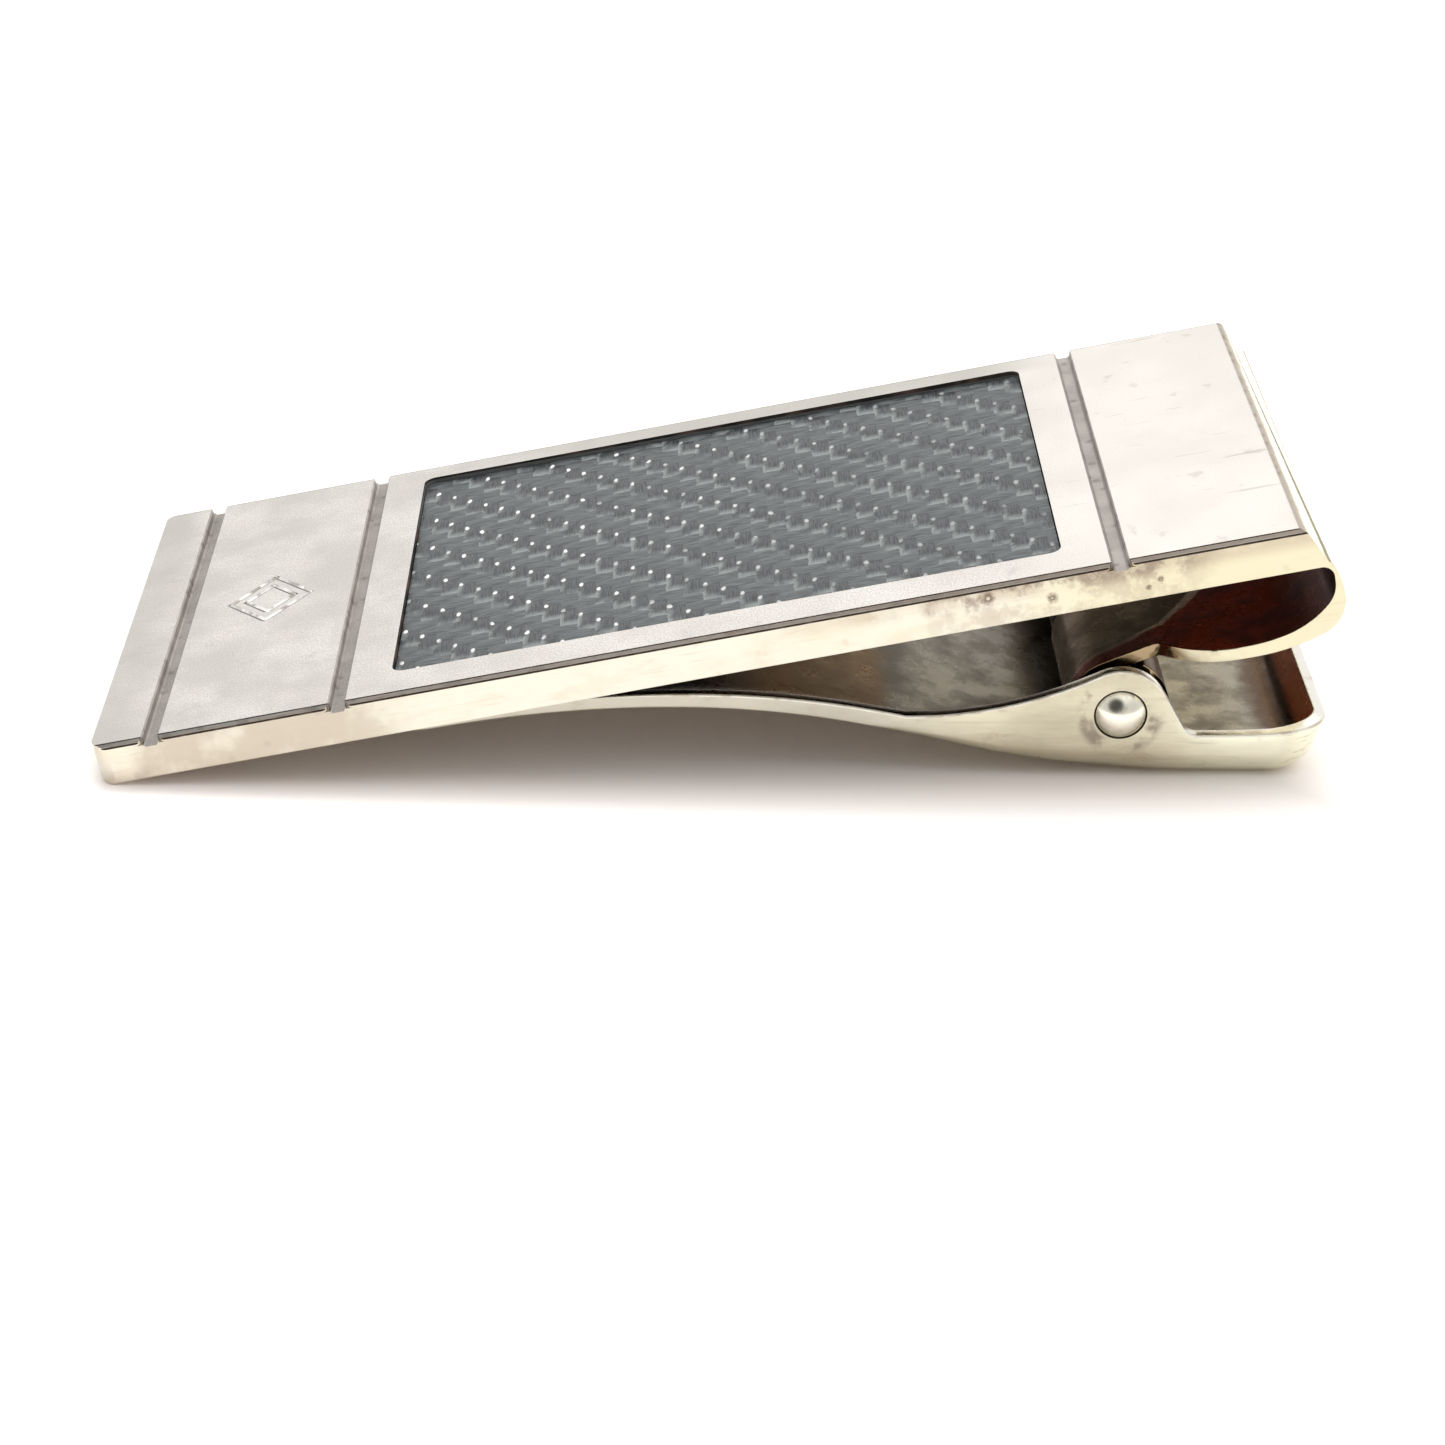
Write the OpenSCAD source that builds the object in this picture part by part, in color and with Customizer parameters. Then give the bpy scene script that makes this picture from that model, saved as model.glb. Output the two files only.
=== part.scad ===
// Hinged money clip with a carbon-fibre inlay, in millimetres.
// A thick face plate bends back under itself into a springy strip. The strip's end is rolled into two
// knuckles, and a shouldered pin in them carries a sprung lever that presses banknotes to the plate.
// The clip lies on a table, on the lower edge of its tip and on the lever's flat bottom.
// X runs from the tip to the bend, Y from the near side to the far side, Z up from the table.

/* [Face plate] */
// Length of the flat top face, from the tip to the bend
face_l = 57.5; // [57:0.1:58]
// Width of the clip
clip_w = 27.7; // [27:0.1:29]
// Thickness of the plate
plate_t = 2.1; // [2:0.05:2.2]
// Angle at which the plate leans on the table
plate_tilt = 11.6; // [11.4:0.1:11.8]
// Bevel along the edges of the top face
edge_bevel = 0.25; // [0.1:0.05:0.35]
// Width of each decorative groove
groove_w = 0.8; // [0.6:0.1:1]
// Depth of each decorative groove
groove_depth = 0.45; // [0.2:0.05:0.6]
// Length of the engraved lozenge, across the clip
mark_l = 5.2; // [3:0.1:6]
// Width of the engraved lozenge, as a share of its length
mark_ratio = 0.8; // [0.5:0.05:1]
// Depth of the engraved lozenge
mark_depth = 0.12; // [0.05:0.01:0.2]

/* [Inlay] */
// Distance from the tip to the inlay's window
window_from_tip = 14.5; // [13.5:0.1:15]
// Distance from the near side to the inlay's window
window_margin = 2.4; // [2:0.1:2.6]
// Length of the window
window_l = 32.3; // [31:0.1:33]
// Width of the window
window_w = 23.7; // [22:0.1:23.9]
// How far the inlay lies below the top face
inlay_recess = 0.3; // [0.15:0.05:0.4]
// Thickness of the inlay
inlay_t = 0.5; // [0.3:0.05:0.6]
// Thickness of the adhesive film under the inlay
adhesive_t = 0.1; // [0.05:0.05:0.15]

/* [Hinge] */
// Distance from the tip to the hinge pin, along the plate
pin_from_tip = 48.25; // [48.1:0.05:48.4]
// Depth of the hinge pin's centre below the top face
pin_below_face = 8.45; // [8.4:0.05:8.5]
// Radius of the pin's barrel, which turns in the knuckles
barrel_r = 1.7; // [1.6:0.05:1.7]
// Radial clearance between the barrel and the knuckles
running_clearance = 0.05; // [0.03:0.01:0.08]
// Radius of the pin's journals in the lever's ears
journal_r = 0.9; // [0.7:0.05:1]
// Radius of the pin's domed heads
head_r = 1.2; // [1.1:0.05:1.4]
// Height of the domed heads
head_h = 0.65; // [0.4:0.05:0.8]
// Outer radius of the knuckles
knuckle_r = 2.42; // [2.4:0.01:2.44]

/* [Lever] */
// Thickness of the lever's sheet
sheet_t = 0.65; // [0.6:0.05:0.7]
// How far the lever's sides lie inside the plate's sides
lever_inset = 1.2; // [1.1:0.1:1.4]
// Radius of the lever's lower corners
lever_corner_r = 1.3; // [1:0.1:1.6]
// Radius of the tail's corners, seen from above
tail_plan_r = 2; // [1.5:0.1:2.5]
// Radius of the arm's corners, seen from above
arm_plan_r = 3; // [2:0.5:4]
// Radius of the ears round the pin
ear_r = 2.32; // [2.3:0.01:2.36]

/* [Spring] */
// Diameter of the torsion spring's wire
wire_d = 0.5; // [0.4:0.05:0.5]
// Number of turns of the coil
spring_turns = 8; // [5:1:9]
// Pitch of the coil
spring_pitch = 0.6; // [0.56:0.01:0.65]

/* [Hidden] */

$fn = 64;
arc_step = 7.5;      // degrees between the points of an arc
beyond = 1;          // how far a cutter runs past what it cuts
mid_y = clip_w / 2;

// ---- Outlines: chains of straight runs and arcs ----
// Each step is [run, 0], a straight run, or [radius, turn], an arc that turns left by turn degrees.
function along(aim) = [cos(aim), sin(aim)];
function left_of(aim) = [-sin(aim), cos(aim)];
function arc(at, aim, radius, turn) =
    let (side = sign(turn), parts = max(2, ceil(abs(turn) / arc_step)))
    let (centre = at + radius * side * left_of(aim))
    [for (k = [1 : parts]) centre - radius * side * left_of(aim + turn * k / parts)];
function step_points(at, aim, step) =
    step[1] == 0 ? [at + step[0] * along(aim)] : arc(at, aim, step[0], step[1]);
function walk(at, aim, steps, i = 0) =
    i == len(steps) ? [at] :
    let (reached = step_points(at, aim, steps[i]), last = len(reached) - 1)
    concat([at], [for (k = [0 : 1 : last - 1]) reached[k]],
           walk(reached[last], aim + steps[i][1], steps, i + 1));
function reversed(points) = [for (k = [len(points) - 1 : -1 : 0]) points[k]];
function last_of(points) = points[len(points) - 1];

// ---- Plate frame: x along the plate from the tip, z below the top face ----
tip_r = 0.4;         // rounding of the tip's lower edge
plate_lift = tip_r * (1 - sin(plate_tilt)) + (plate_t - tip_r) * cos(plate_tilt);
function on_table(p) = [p.x * cos(plate_tilt) - p.y * sin(plate_tilt),
                        p.x * sin(plate_tilt) + p.y * cos(plate_tilt) + plate_lift];
pin = [pin_from_tip, -pin_below_face];
pin_at = on_table(pin);

// ---- Bend and return strip ----
bend_outer = [[0.6, -61.5],    // shoulder below the top face
              [1.76, 0],       // straight outer face
              [4, -28.5],      // end of the bend, up to its furthest point
              [1.85, -71],     // lower corner
              [10, -19]];      // on to the level strip
bend_inner = [[0.55, -90],     // tight corner under the plate
              [0.3, 0],        // straight inner face
              [1.45, -45],     // round corner
              [4.5, -31],
              [7.9, -14]];     // on to the level strip
bend_inner_start = [face_l + 0.88, -plate_t];
strip_bottom = walk([face_l, 0], 0, bend_outer);
strip_top = walk(bend_inner_start, 0, bend_inner);
strip_kink = 51;               // where the strip starts to drop to the knuckles
kink_top = [strip_kink, last_of(strip_top).y];
kink_bottom = [strip_kink, last_of(strip_bottom).y];

// ---- Knuckles: the strip is rolled round the pin ----
bore_r = barrel_r + running_clearance;
roll_r = bore_r - 0.05;        // inside of the roll before the bore is reamed
roll_end = 52 + 360;           // angle at which the roll stops, below the strip
function touch_angle(from, radius) =
    atan2(from.y - pin.y, from.x - pin.x) + acos(radius / norm(from - pin));
touch_top = touch_angle(kink_top, knuckle_r);
touch_bottom = touch_angle(kink_bottom, roll_r);
roll_inside = arc(pin + roll_r * along(touch_bottom), touch_bottom + 90, roll_r, roll_end - touch_bottom);
roll_outside = arc(pin + knuckle_r * along(roll_end), roll_end - 90, knuckle_r, touch_top - roll_end);
plate_section = concat(
    [[0, -edge_bevel], [edge_bevel, 0]],
    strip_bottom, [kink_bottom, pin + roll_r * along(touch_bottom)], roll_inside,
    [pin + knuckle_r * along(roll_end)], roll_outside, [kink_top], reversed(strip_top),
    [[tip_r, -plate_t]], arc([tip_r, -plate_t], 180, tip_r, -90));

tongue_inset = 2.25;           // from the clip's side to the tongue's side
neck_start = 54.2;             // where the strip starts to narrow
neck_arcs = [4.2, 0.8];        // radii of the narrowing's shoulder and fillet
neck_turn = acos(1 - tongue_inset / (neck_arcs[0] + neck_arcs[1]));
spring_window = 6.9;           // width of the window between the knuckles
spring_window_end = 51.5;      // where the window ends, from the tip
return_top = -plate_t - 0.4;   // everything below this belongs to the bend's return

// ---- Lever, in its own upright frame: x from the tip, z from the table ----
lever_w = clip_w - 2 * lever_inset;
flat_start = 52.5;             // the bottom is flat from here to the tail
flat_end = 57;
arm_dip = 16.8;                // steepest angle of the arm's underside
arm_end_angle = 14.7;          // slope of the arm at its end
rise_r = 40;                   // arc from the flat bottom up to the arm
crest_r = 45;                  // arc over the arm's crest
tip_arc_r = 58;                // arc from the crest down to the arm's end
tail_r = 1.7;                  // rounding between the bottom and the end wall
tail_turn = 70;                // the end wall leans outwards by 20 degrees
tail_rim = 2.69;               // height of the rim at the tail
trough_h = 9;                  // taller than the ears, before the rim is cut
rise_centre = [flat_start, rise_r];
crest_centre = rise_centre - (rise_r + crest_r) * [sin(arm_dip), cos(arm_dip)];
tip_arc_centre = crest_centre + [0, crest_r - tip_arc_r];
arm_end = tip_arc_centre + tip_arc_r * along(90 + arm_end_angle);
flange_start = 38.3;           // the sides rise from the arm here
arm_trim = 0.05;               // the arm is this much thinner than the sheet
function arm_top(x) = let (o = sheet_t - arm_trim)
    x > crest_centre.x ? crest_centre.y + sqrt(pow(crest_r + o, 2) - pow(x - crest_centre.x, 2))
                       : tip_arc_centre.y + sqrt(pow(tip_arc_r + o, 2) - pow(x - tip_arc_centre.x, 2));
flange_aim = 1;                // slope of the side's rim where it starts
flange_turn = 26;              // the rim's arc turns upwards by this on its way to the ear
flange_r = 20;
ear_left = 90 + flange_aim + flange_turn;
ear_right = 30;                // angle where the ear's round ends
flange_end = pin_at + ear_r * along(ear_left);
flange_rim = reversed(walk(flange_end, ear_left + 90, [[flange_r, -flange_turn]]));
ear_rim = arc(flange_end, ear_left - 90, ear_r, ear_right - ear_left);
tail_rim_steps = [[2.05, 0], [0.9, 60], [55, 6.5]];
rim = concat(
    [for (x = [10 : 1 : 38]) [x, arm_top(x)]], [[flange_start, arm_top(flange_start)]],
    [[flange_start, flange_rim[0].y - (flange_rim[0].x - flange_start) * tan(flange_aim)]],
    flange_rim, ear_rim, walk(last_of(ear_rim), ear_right - 90, tail_rim_steps));
lever_end = flat_end + tail_r * sin(tail_turn)
          + (tail_rim - tail_r * (1 - cos(tail_turn))) / tan(tail_turn);

// ---- Overall frame: the origin is under the middle of the clip ----
first_x = edge_bevel * sin(plate_tilt);
centre_x = (first_x + lever_end) / 2;
module on_frame() translate([-centre_x, -mid_y, 0]) children();
module plate_frame() on_frame() translate([0, 0, plate_lift]) rotate([0, -plate_tilt, 0]) children();
// Extrudes an outline drawn in x and z from y = from to y = to
module across(from, to) translate([0, to, 0]) rotate([90, 0, 0]) linear_extrude(to - from) children();
module both_sides() {
    children();
    translate([0, clip_w, 0]) mirror([0, 1, 0]) children();
}
module round_rect(size, r) {
    translate([r, 0]) square([size.x - 2 * r, size.y]);
    translate([0, r]) square([size.x, size.y - 2 * r]);
    for (x = [r, size.x - r], y = [r, size.y - r]) translate([x, y]) circle(r);
}

// ---- Face plate, bend, strip and knuckles: one forging ----
module grooves() {
    for (x = [2.5, 11.6, 48.9])
        translate([x, -beyond, -groove_depth]) cube([groove_w, clip_w + 2 * beyond, groove_depth + beyond]);
}
module edge_bevels() {
    both_sides() rotate([0, 90, 0]) linear_extrude(3 * face_l, center = true)
        polygon([[beyond, -beyond], [edge_bevel, 0], [0, edge_bevel], [-beyond, edge_bevel], [-beyond, -beyond]]);
}
module inlay_pocket() {
    pocket_depth = inlay_recess + inlay_t + adhesive_t;
    translate([window_from_tip, window_margin, -pocket_depth])
        linear_extrude(pocket_depth + beyond) round_rect([window_l, window_w], 0.6);
}
module lozenge(l, line) {
    diamond = [[1, 0], [0, mark_ratio], [-1, 0], [0, -mark_ratio]];
    difference() {
        scale([l / 2, l / 2]) polygon(diamond);
        scale([l / 2 - line, l / 2 - line]) polygon(diamond);
    }
}
module mark() {
    translate([7.3, mid_y, -mark_depth]) rotate([0, 0, 90]) linear_extrude(mark_depth + beyond) {
        lozenge(mark_l, 0.25);
        lozenge(mark_l * 0.6, 0.25);
    }
}
module tip_corners() {
    corner_r = 0.8;
    both_sides() translate([0, 0, -plate_t - beyond]) linear_extrude(plate_t + 2 * beyond)
        polygon(concat([[-beyond, -beyond]], [[corner_r, -beyond], [corner_r, 0]],
                       arc([corner_r, 0], 180, corner_r, -90), [[-beyond, corner_r]]));
}
module neck_cutters() {
    both_sides() translate([0, 0, -3 * pin_below_face]) linear_extrude(3 * pin_below_face + return_top)
        polygon(concat([[neck_start, -beyond]],
                       walk([neck_start, 0], 180, [[neck_arcs[0], -neck_turn], [neck_arcs[1], neck_turn]]),
                       [[pin_from_tip - 2 * knuckle_r, tongue_inset], [pin_from_tip - 2 * knuckle_r, -beyond]]));
}
module spring_window_cutter() {
    start = pin_from_tip - 2 * knuckle_r;
    translate([start, mid_y - spring_window / 2, -3 * pin_below_face])
        cube([spring_window_end - start, spring_window, 3 * pin_below_face + return_top]);
}
module face_plate() {
    color("gainsboro") plate_frame() difference() {
        across(0, clip_w) polygon(plate_section);
        grooves();
        edge_bevels();
        inlay_pocket();
        mark();
        tip_corners();
        neck_cutters();
        spring_window_cutter();
        translate([pin.x, -beyond, pin.y]) rotate([-90, 0, 0]) cylinder(r = bore_r, h = clip_w + 2 * beyond);
    }
}

// ---- Carbon inlay and its adhesive film ----
module window_fill(top, thick, gap) {
    plate_frame() translate([window_from_tip + gap, window_margin + gap, -top - thick])
        linear_extrude(thick) round_rect([window_l - 2 * gap, window_w - 2 * gap], 0.6 - gap);
}
module carbon_inlay() {
    color("slategray") window_fill(inlay_recess, inlay_t, 0.05);
}
module inlay_adhesive() {
    color("khaki") window_fill(inlay_recess + inlay_t, adhesive_t, 0.1);
}

// ---- Lever: arm, two ears and a shallow pan pressed from one sheet ----
// Half of the pressing's cross-section is [across, up]; inside is its inner side
function trough_section(inset) =
    let (half = lever_w / 2 - inset, r = lever_corner_r - inset)
    let (corner = walk([-half, lever_corner_r], -90, [[r, 90]]))
    concat([[-half, trough_h]], corner, [for (p = reversed(corner)) [-p.x, p.y]], [[half, trough_h]]);
// Sweeps the section along the bottom's line: flat, then up to the arm, then over the crest
module bottom_arc(centre, from, turn) {
    translate([centre.x, mid_y, centre.y]) rotate([90, 0, 0]) rotate([0, 0, from])
        mirror([0, turn < 0 ? 1 : 0, 0]) rotate_extrude(angle = abs(turn), $fn = 256) children();
}
module trough(inset) {
    section = trough_section(inset);
    translate([flat_start, mid_y, 0]) rotate([90, 0, 90])
        linear_extrude(lever_end - flat_start + beyond) polygon(section);
    bottom_arc(rise_centre, 270, -arm_dip) polygon([for (p = section) [rise_r - p.y, p.x]]);
    bottom_arc(crest_centre, 90, -arm_dip) polygon([for (p = section) [crest_r + p.y, p.x]]);
    bottom_arc(tip_arc_centre, 90, arm_end_angle) polygon([for (p = section) [tip_arc_r + p.y, p.x]]);
}
// The pressing's outline from above, with round corners at the arm's end (end_r) and at the tail
module lever_plan(inset, from, end_r) {
    half = lever_w / 2 + beyond * sign(inset);
    r = tail_plan_r - inset;
    tail = lever_end - inset;
    side = [half, lever_w / 2 - inset];
    near_half = concat(walk([from, -side[0] + end_r], -90, [[end_r, 90]]),
                       [[flat_end, -side[0]], [flat_end, -side[1]]],
                       walk([tail - r, -side[1]], 0, [[r, 90]]));
    translate([0, mid_y, -beyond]) linear_extrude(trough_h + 2 * beyond)
        polygon(concat(near_half, [for (p = reversed(near_half)) [p.x, -p.y]]));
}
module above_rim() {
    top = 3 * trough_h;
    across(-beyond, clip_w + beyond)
        polygon(concat(rim, [[lever_end + beyond, last_of(rim).y], [lever_end + beyond, top], [rim[0].x, top]]));
}
module behind_tail(inset) {
    lean = 2 * tail_r;
    across(-beyond, clip_w + beyond)
        polygon(concat([[flat_end, -beyond]],
                       walk([flat_end, inset], 0, [[tail_r - inset, tail_turn], [2 * lean, 0]]),
                       [[lever_end + 2 * lean, trough_h], [lever_end + 2 * lean, -beyond]]));
}
module pressing(inset, from, end_r) {
    difference() {
        intersection() {
            trough(inset);
            lever_plan(inset, from, end_r);
        }
        behind_tail(inset);
    }
}
module clip_lever() {
    color("lightgray") on_frame() difference() {
        pressing(0, arm_end.x, arm_plan_r);
        pressing(sheet_t, flange_start - beyond, beyond / 2);
        above_rim();
        translate([pin_at.x, 0, pin_at.y]) rotate([-90, 0, 0]) cylinder(r = journal_r, h = clip_w);
    }
}

// ---- Hinge pin: a shouldered rivet with a domed head at each end ----
module hinge_pin() {
    ear_out = lever_w / 2;
    ear_in = ear_out - sheet_t;
    barrel_end = ear_in - 0.1;
    dome_r = (pow(head_r, 2) + pow(head_h, 2)) / (2 * head_h);
    dome_turn = asin(head_r / dome_r);
    dome = [for (k = [1 : 6]) let (a = dome_turn * (1 - k / 6))
        [dome_r * sin(a), ear_out + head_h - dome_r * (1 - cos(a))]];
    half = concat([[barrel_r, barrel_end], [journal_r, barrel_end], [journal_r, ear_out], [head_r, ear_out]], dome);
    color("silver") on_frame() translate([pin_at.x, mid_y, pin_at.y]) rotate([-90, 0, 0])
        rotate_extrude() polygon(concat([for (p = reversed(half)) [p.x, -p.y]], half));
}

// ---- Torsion spring on the barrel: one leg under the strip, one on the pan's floor ----
coil_r = barrel_r + 0.08 + wire_d / 2;
wire_sides = 8;
coil_points = 24;
upper_leg = [6.2, 1.28];       // run and rise of the leg under the strip, from the top of the coil
lower_leg = [6.2, -0.4];       // run and rise of the leg on the floor, from the bottom of the coil
leg_parts = 4;
upper_slope = atan2(upper_leg.y, upper_leg.x);
lower_slope = atan2(lower_leg.y, lower_leg.x);
coil_start = 90 + upper_slope;
coil_turn = 360 * spring_turns + 180 - upper_slope + lower_slope;
coil_l = coil_turn / 360 * spring_pitch;
function coil_at(a) = [coil_r * cos(coil_start + a), -coil_l / 2 + coil_l * a / coil_turn,
                       coil_r * sin(coil_start + a)];
spring_line = concat(
    [for (k = [leg_parts : -1 : 1]) coil_at(0) + [upper_leg.x, 0, upper_leg.y] * k / leg_parts],
    [for (a = [0 : 360 / coil_points : coil_turn - 180 / coil_points]) coil_at(a)],
    [coil_at(coil_turn)],
    [for (k = [1 : leg_parts]) coil_at(coil_turn) + [lower_leg.x, 0, lower_leg.y] * k / leg_parts]);
function unit(v) = v / norm(v);
function aim_at(k) = unit(spring_line[min(k + 1, len(spring_line) - 1)] - spring_line[max(k - 1, 0)]);
function ring_at(k) = let (aim = aim_at(k), side = unit(cross(aim, [0, 1, 0])), up = cross(side, aim))
    [for (s = [0 : wire_sides - 1]) spring_line[k]
        + wire_d / 2 * (cos(360 * s / wire_sides) * side + sin(360 * s / wire_sides) * up)];
module hinge_spring() {
    rings = len(spring_line);
    points = [for (k = [0 : rings - 1]) each ring_at(k)];
    faces = concat(
        [[for (s = [0 : wire_sides - 1]) s]],
        [for (k = [0 : rings - 2], s = [0 : wire_sides - 1]) let (t = (s + 1) % wire_sides)
            [k * wire_sides + s, (k + 1) * wire_sides + s, (k + 1) * wire_sides + t, k * wire_sides + t]],
        [[for (s = [wire_sides - 1 : -1 : 0]) (rings - 1) * wire_sides + s]]);
    color("dimgray") on_frame() translate([pin_at.x, mid_y, pin_at.y])
        polyhedron(points, faces, convexity = 10);
}

face_plate();
carbon_inlay();
inlay_adhesive();
clip_lever();
hinge_pin();
hinge_spring();
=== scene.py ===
"""Looks of a hinged money clip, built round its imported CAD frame.

Modelling is done in millimetres, in two frames that share their axes' names with the CAD:
- the plate frame: x along the plate from its tip, y across, z up from the top face (0) to the underside;
- the table frame: x from the tip, y across, z up from the table.
Each piece's mesh is then scaled to metres and its object is placed in the row frame.
"""

import math

import bmesh
import bpy
import numpy as np
from mathutils import Matrix, Vector


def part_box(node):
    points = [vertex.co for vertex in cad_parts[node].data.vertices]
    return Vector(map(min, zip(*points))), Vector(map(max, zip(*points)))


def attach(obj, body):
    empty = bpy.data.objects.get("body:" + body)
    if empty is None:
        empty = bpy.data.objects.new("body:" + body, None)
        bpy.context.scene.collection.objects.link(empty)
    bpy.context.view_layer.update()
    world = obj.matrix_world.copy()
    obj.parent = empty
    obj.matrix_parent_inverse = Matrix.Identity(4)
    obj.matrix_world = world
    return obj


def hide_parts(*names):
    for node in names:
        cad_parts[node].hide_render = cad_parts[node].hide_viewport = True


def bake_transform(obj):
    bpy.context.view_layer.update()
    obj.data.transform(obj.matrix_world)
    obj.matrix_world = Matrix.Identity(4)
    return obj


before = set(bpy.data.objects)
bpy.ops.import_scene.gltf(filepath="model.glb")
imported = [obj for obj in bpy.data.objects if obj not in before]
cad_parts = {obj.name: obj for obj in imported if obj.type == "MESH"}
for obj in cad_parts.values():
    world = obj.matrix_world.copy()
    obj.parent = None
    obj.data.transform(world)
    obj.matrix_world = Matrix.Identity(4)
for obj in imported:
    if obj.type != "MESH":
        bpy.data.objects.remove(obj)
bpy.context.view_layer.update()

MM = 0.001


def sin(degrees):
    return math.sin(math.radians(degrees))


def cos(degrees):
    return math.cos(math.radians(degrees))


def tan(degrees):
    return math.tan(math.radians(degrees))


def slope_of(dx, dy):
    return math.degrees(math.atan2(dy, dx))


# ---- driving dimensions, as in the CAD
FACE_L = 57.5
CLIP_W = 27.7
PLATE_T = 2.1
PLATE_TILT = 11.6
EDGE_BEVEL = 0.25
GROOVES = (2.5, 11.6, 48.9)
GROOVE_W = 0.8
GROOVE_DEPTH = 0.45
MARK_X = 7.3
MARK_L = 5.2
MARK_RATIO = 0.8
MARK_DEPTH = 0.12
WINDOW_FROM_TIP = 14.5
WINDOW_MARGIN = 2.4
WINDOW_L = 32.3
WINDOW_W = 23.7
WINDOW_R = 0.6
INLAY_RECESS = 0.3
INLAY_T = 0.5
ADHESIVE_T = 0.1
PIN = (48.25, -8.45)
BARREL_R = 1.7
BORE_R = 1.75
JOURNAL_R = 0.9
HEAD_R = 1.2
HEAD_H = 0.65
KNUCKLE_R = 2.42
SHEET_T = 0.65
LEVER_INSET = 1.2
LEVER_CORNER_R = 1.3
ARM_PLAN_R = 3.0
EAR_R = 2.32
WIRE_D = 0.5
SPRING_TURNS = 8
SPRING_PITCH = 0.6
TIP_R = 0.4
MID_Y = CLIP_W / 2
WINDOW_END = WINDOW_FROM_TIP + WINDOW_L
WINDOW_FAR = WINDOW_MARGIN + WINDOW_W

# The CAD boxes anchor both frames in the row frame.
SIN_TILT, COS_TILT = sin(PLATE_TILT), cos(PLATE_TILT)
TIP_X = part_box("face_plate")[0].x / MM - EDGE_BEVEL * SIN_TILT
PLATE_LIFT = TIP_R * (1 - SIN_TILT) + (PLATE_T - TIP_R) * COS_TILT
PIN_AT = (PIN[0] * COS_TILT - PIN[1] * SIN_TILT, PIN[0] * SIN_TILT + PIN[1] * COS_TILT + PLATE_LIFT)
TABLE_TO_ROW = Matrix.Translation(Vector((TIP_X, -MID_Y, 0)) * MM)
PLATE_TO_ROW = (Matrix.Translation(Vector((TIP_X, -MID_Y, PLATE_LIFT)) * MM)
                @ Matrix.Rotation(-math.radians(PLATE_TILT), 4, "Y"))


# ---- outlines
def polar(centre, radius, angle):
    """The point at that radius and angle in degrees from centre."""
    return (centre[0] + radius * cos(angle), centre[1] + radius * sin(angle))


def walk(at, aim, steps, arc_step=3.0):
    """Points along straight runs (run, 0) and arcs (radius, turn in degrees, left is positive)."""
    points = [tuple(at)]
    for size, turn in steps:
        if turn == 0:
            points.append(polar(points[-1], size, aim))
            continue
        side = math.copysign(90, turn)
        centre = polar(points[-1], size, aim + side)
        parts = max(2, math.ceil(abs(turn) / arc_step))
        points += [polar(centre, size, aim + turn * k / parts - side) for k in range(1, parts + 1)]
        aim += turn
    return points


# The bend's outer and inner outline as runs and arcs, and the plan of the strip's tongue.
BEND_OUTER = [(0.6, -61.5), (1.76, 0), (4, -28.5), (1.85, -71), (10, -19)]
BEND_INNER = [(0.55, -90), (0.3, 0), (1.45, -45), (4.5, -31), (7.9, -14)]
STRIP_KINK = 51.0
KINK_R = 4.0
ROLL_END = 52 + 360
TONGUE_INSET = 2.25
NECK_START = 54.2
NECK_ARCS = (4.2, 0.8)
SPRING_WINDOW = 6.9
SPRING_WINDOW_END = 51.5
TIP_CORNER_R = 0.8


def tongue_run(start, radius):
    """From the level strip at start, over the kink, to where the roll of that radius begins."""
    away = start[0] - PIN[0], start[1] - PIN[1]
    touch = slope_of(*away) + math.degrees(math.acos(radius / math.hypot(*away)))
    slope = touch - 90
    lead = KINK_R * tan(slope / 2)
    bend = walk((start[0] + lead, start[1]), 180, [(KINK_R, slope)])
    return bend + [polar(PIN, radius, touch)], touch


def plate_section():
    bottom = walk((FACE_L, 0), 0, BEND_OUTER)
    top = walk((FACE_L + 0.88, -PLATE_T), 0, BEND_INNER)
    run_in, touch_in = tongue_run((STRIP_KINK, bottom[-1][1]), BORE_R)
    run_out, touch_out = tongue_run((STRIP_KINK, top[-1][1]), KNUCKLE_R)
    inside = walk(polar(PIN, BORE_R, touch_in), touch_in + 90, [(BORE_R, ROLL_END - touch_in)])
    outside = walk(polar(PIN, KNUCKLE_R, ROLL_END), ROLL_END - 90, [(KNUCKLE_R, touch_out - ROLL_END)])
    tip = walk((TIP_R, -PLATE_T), 180, [(TIP_R, -90)], 15)
    return ([(0, 0)] + bottom + run_in[:-1] + inside + outside[:-1] + run_out[::-1] + top[::-1] + tip)


# ---- mesh helpers
def new_object(name, data):
    obj = bpy.data.objects.new(name, data)
    bpy.context.scene.collection.objects.link(obj)
    return obj


def solid_of(bm):
    """An object from a closed bmesh, its faces turned outwards."""
    bmesh.ops.recalc_face_normals(bm, faces=bm.faces)
    mesh = bpy.data.meshes.new("solid")
    bm.to_mesh(mesh)
    bm.free()
    return new_object("solid", mesh)


def solid_between(start, end):
    """A closed solid between two outlines with as many points."""
    bm = bmesh.new()
    a, b = ([bm.verts.new(p) for p in outline] for outline in (start, end))
    bm.faces.new(a)
    bm.faces.new(b)
    for k in range(len(a)):
        j = (k + 1) % len(a)
        bm.faces.new((a[k], a[j], b[j], b[k]))
    return solid_of(bm)


def prism(outline, low, high, axis):
    """A closed solid: the outline is drawn across axis ("y": x and z, "z": x and y)."""
    if axis == "y":
        return solid_between(*([(x, h, z) for x, z in outline] for h in (low, high)))
    return solid_between(*([(x, y, h) for x, y in outline] for h in (low, high)))


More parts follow.
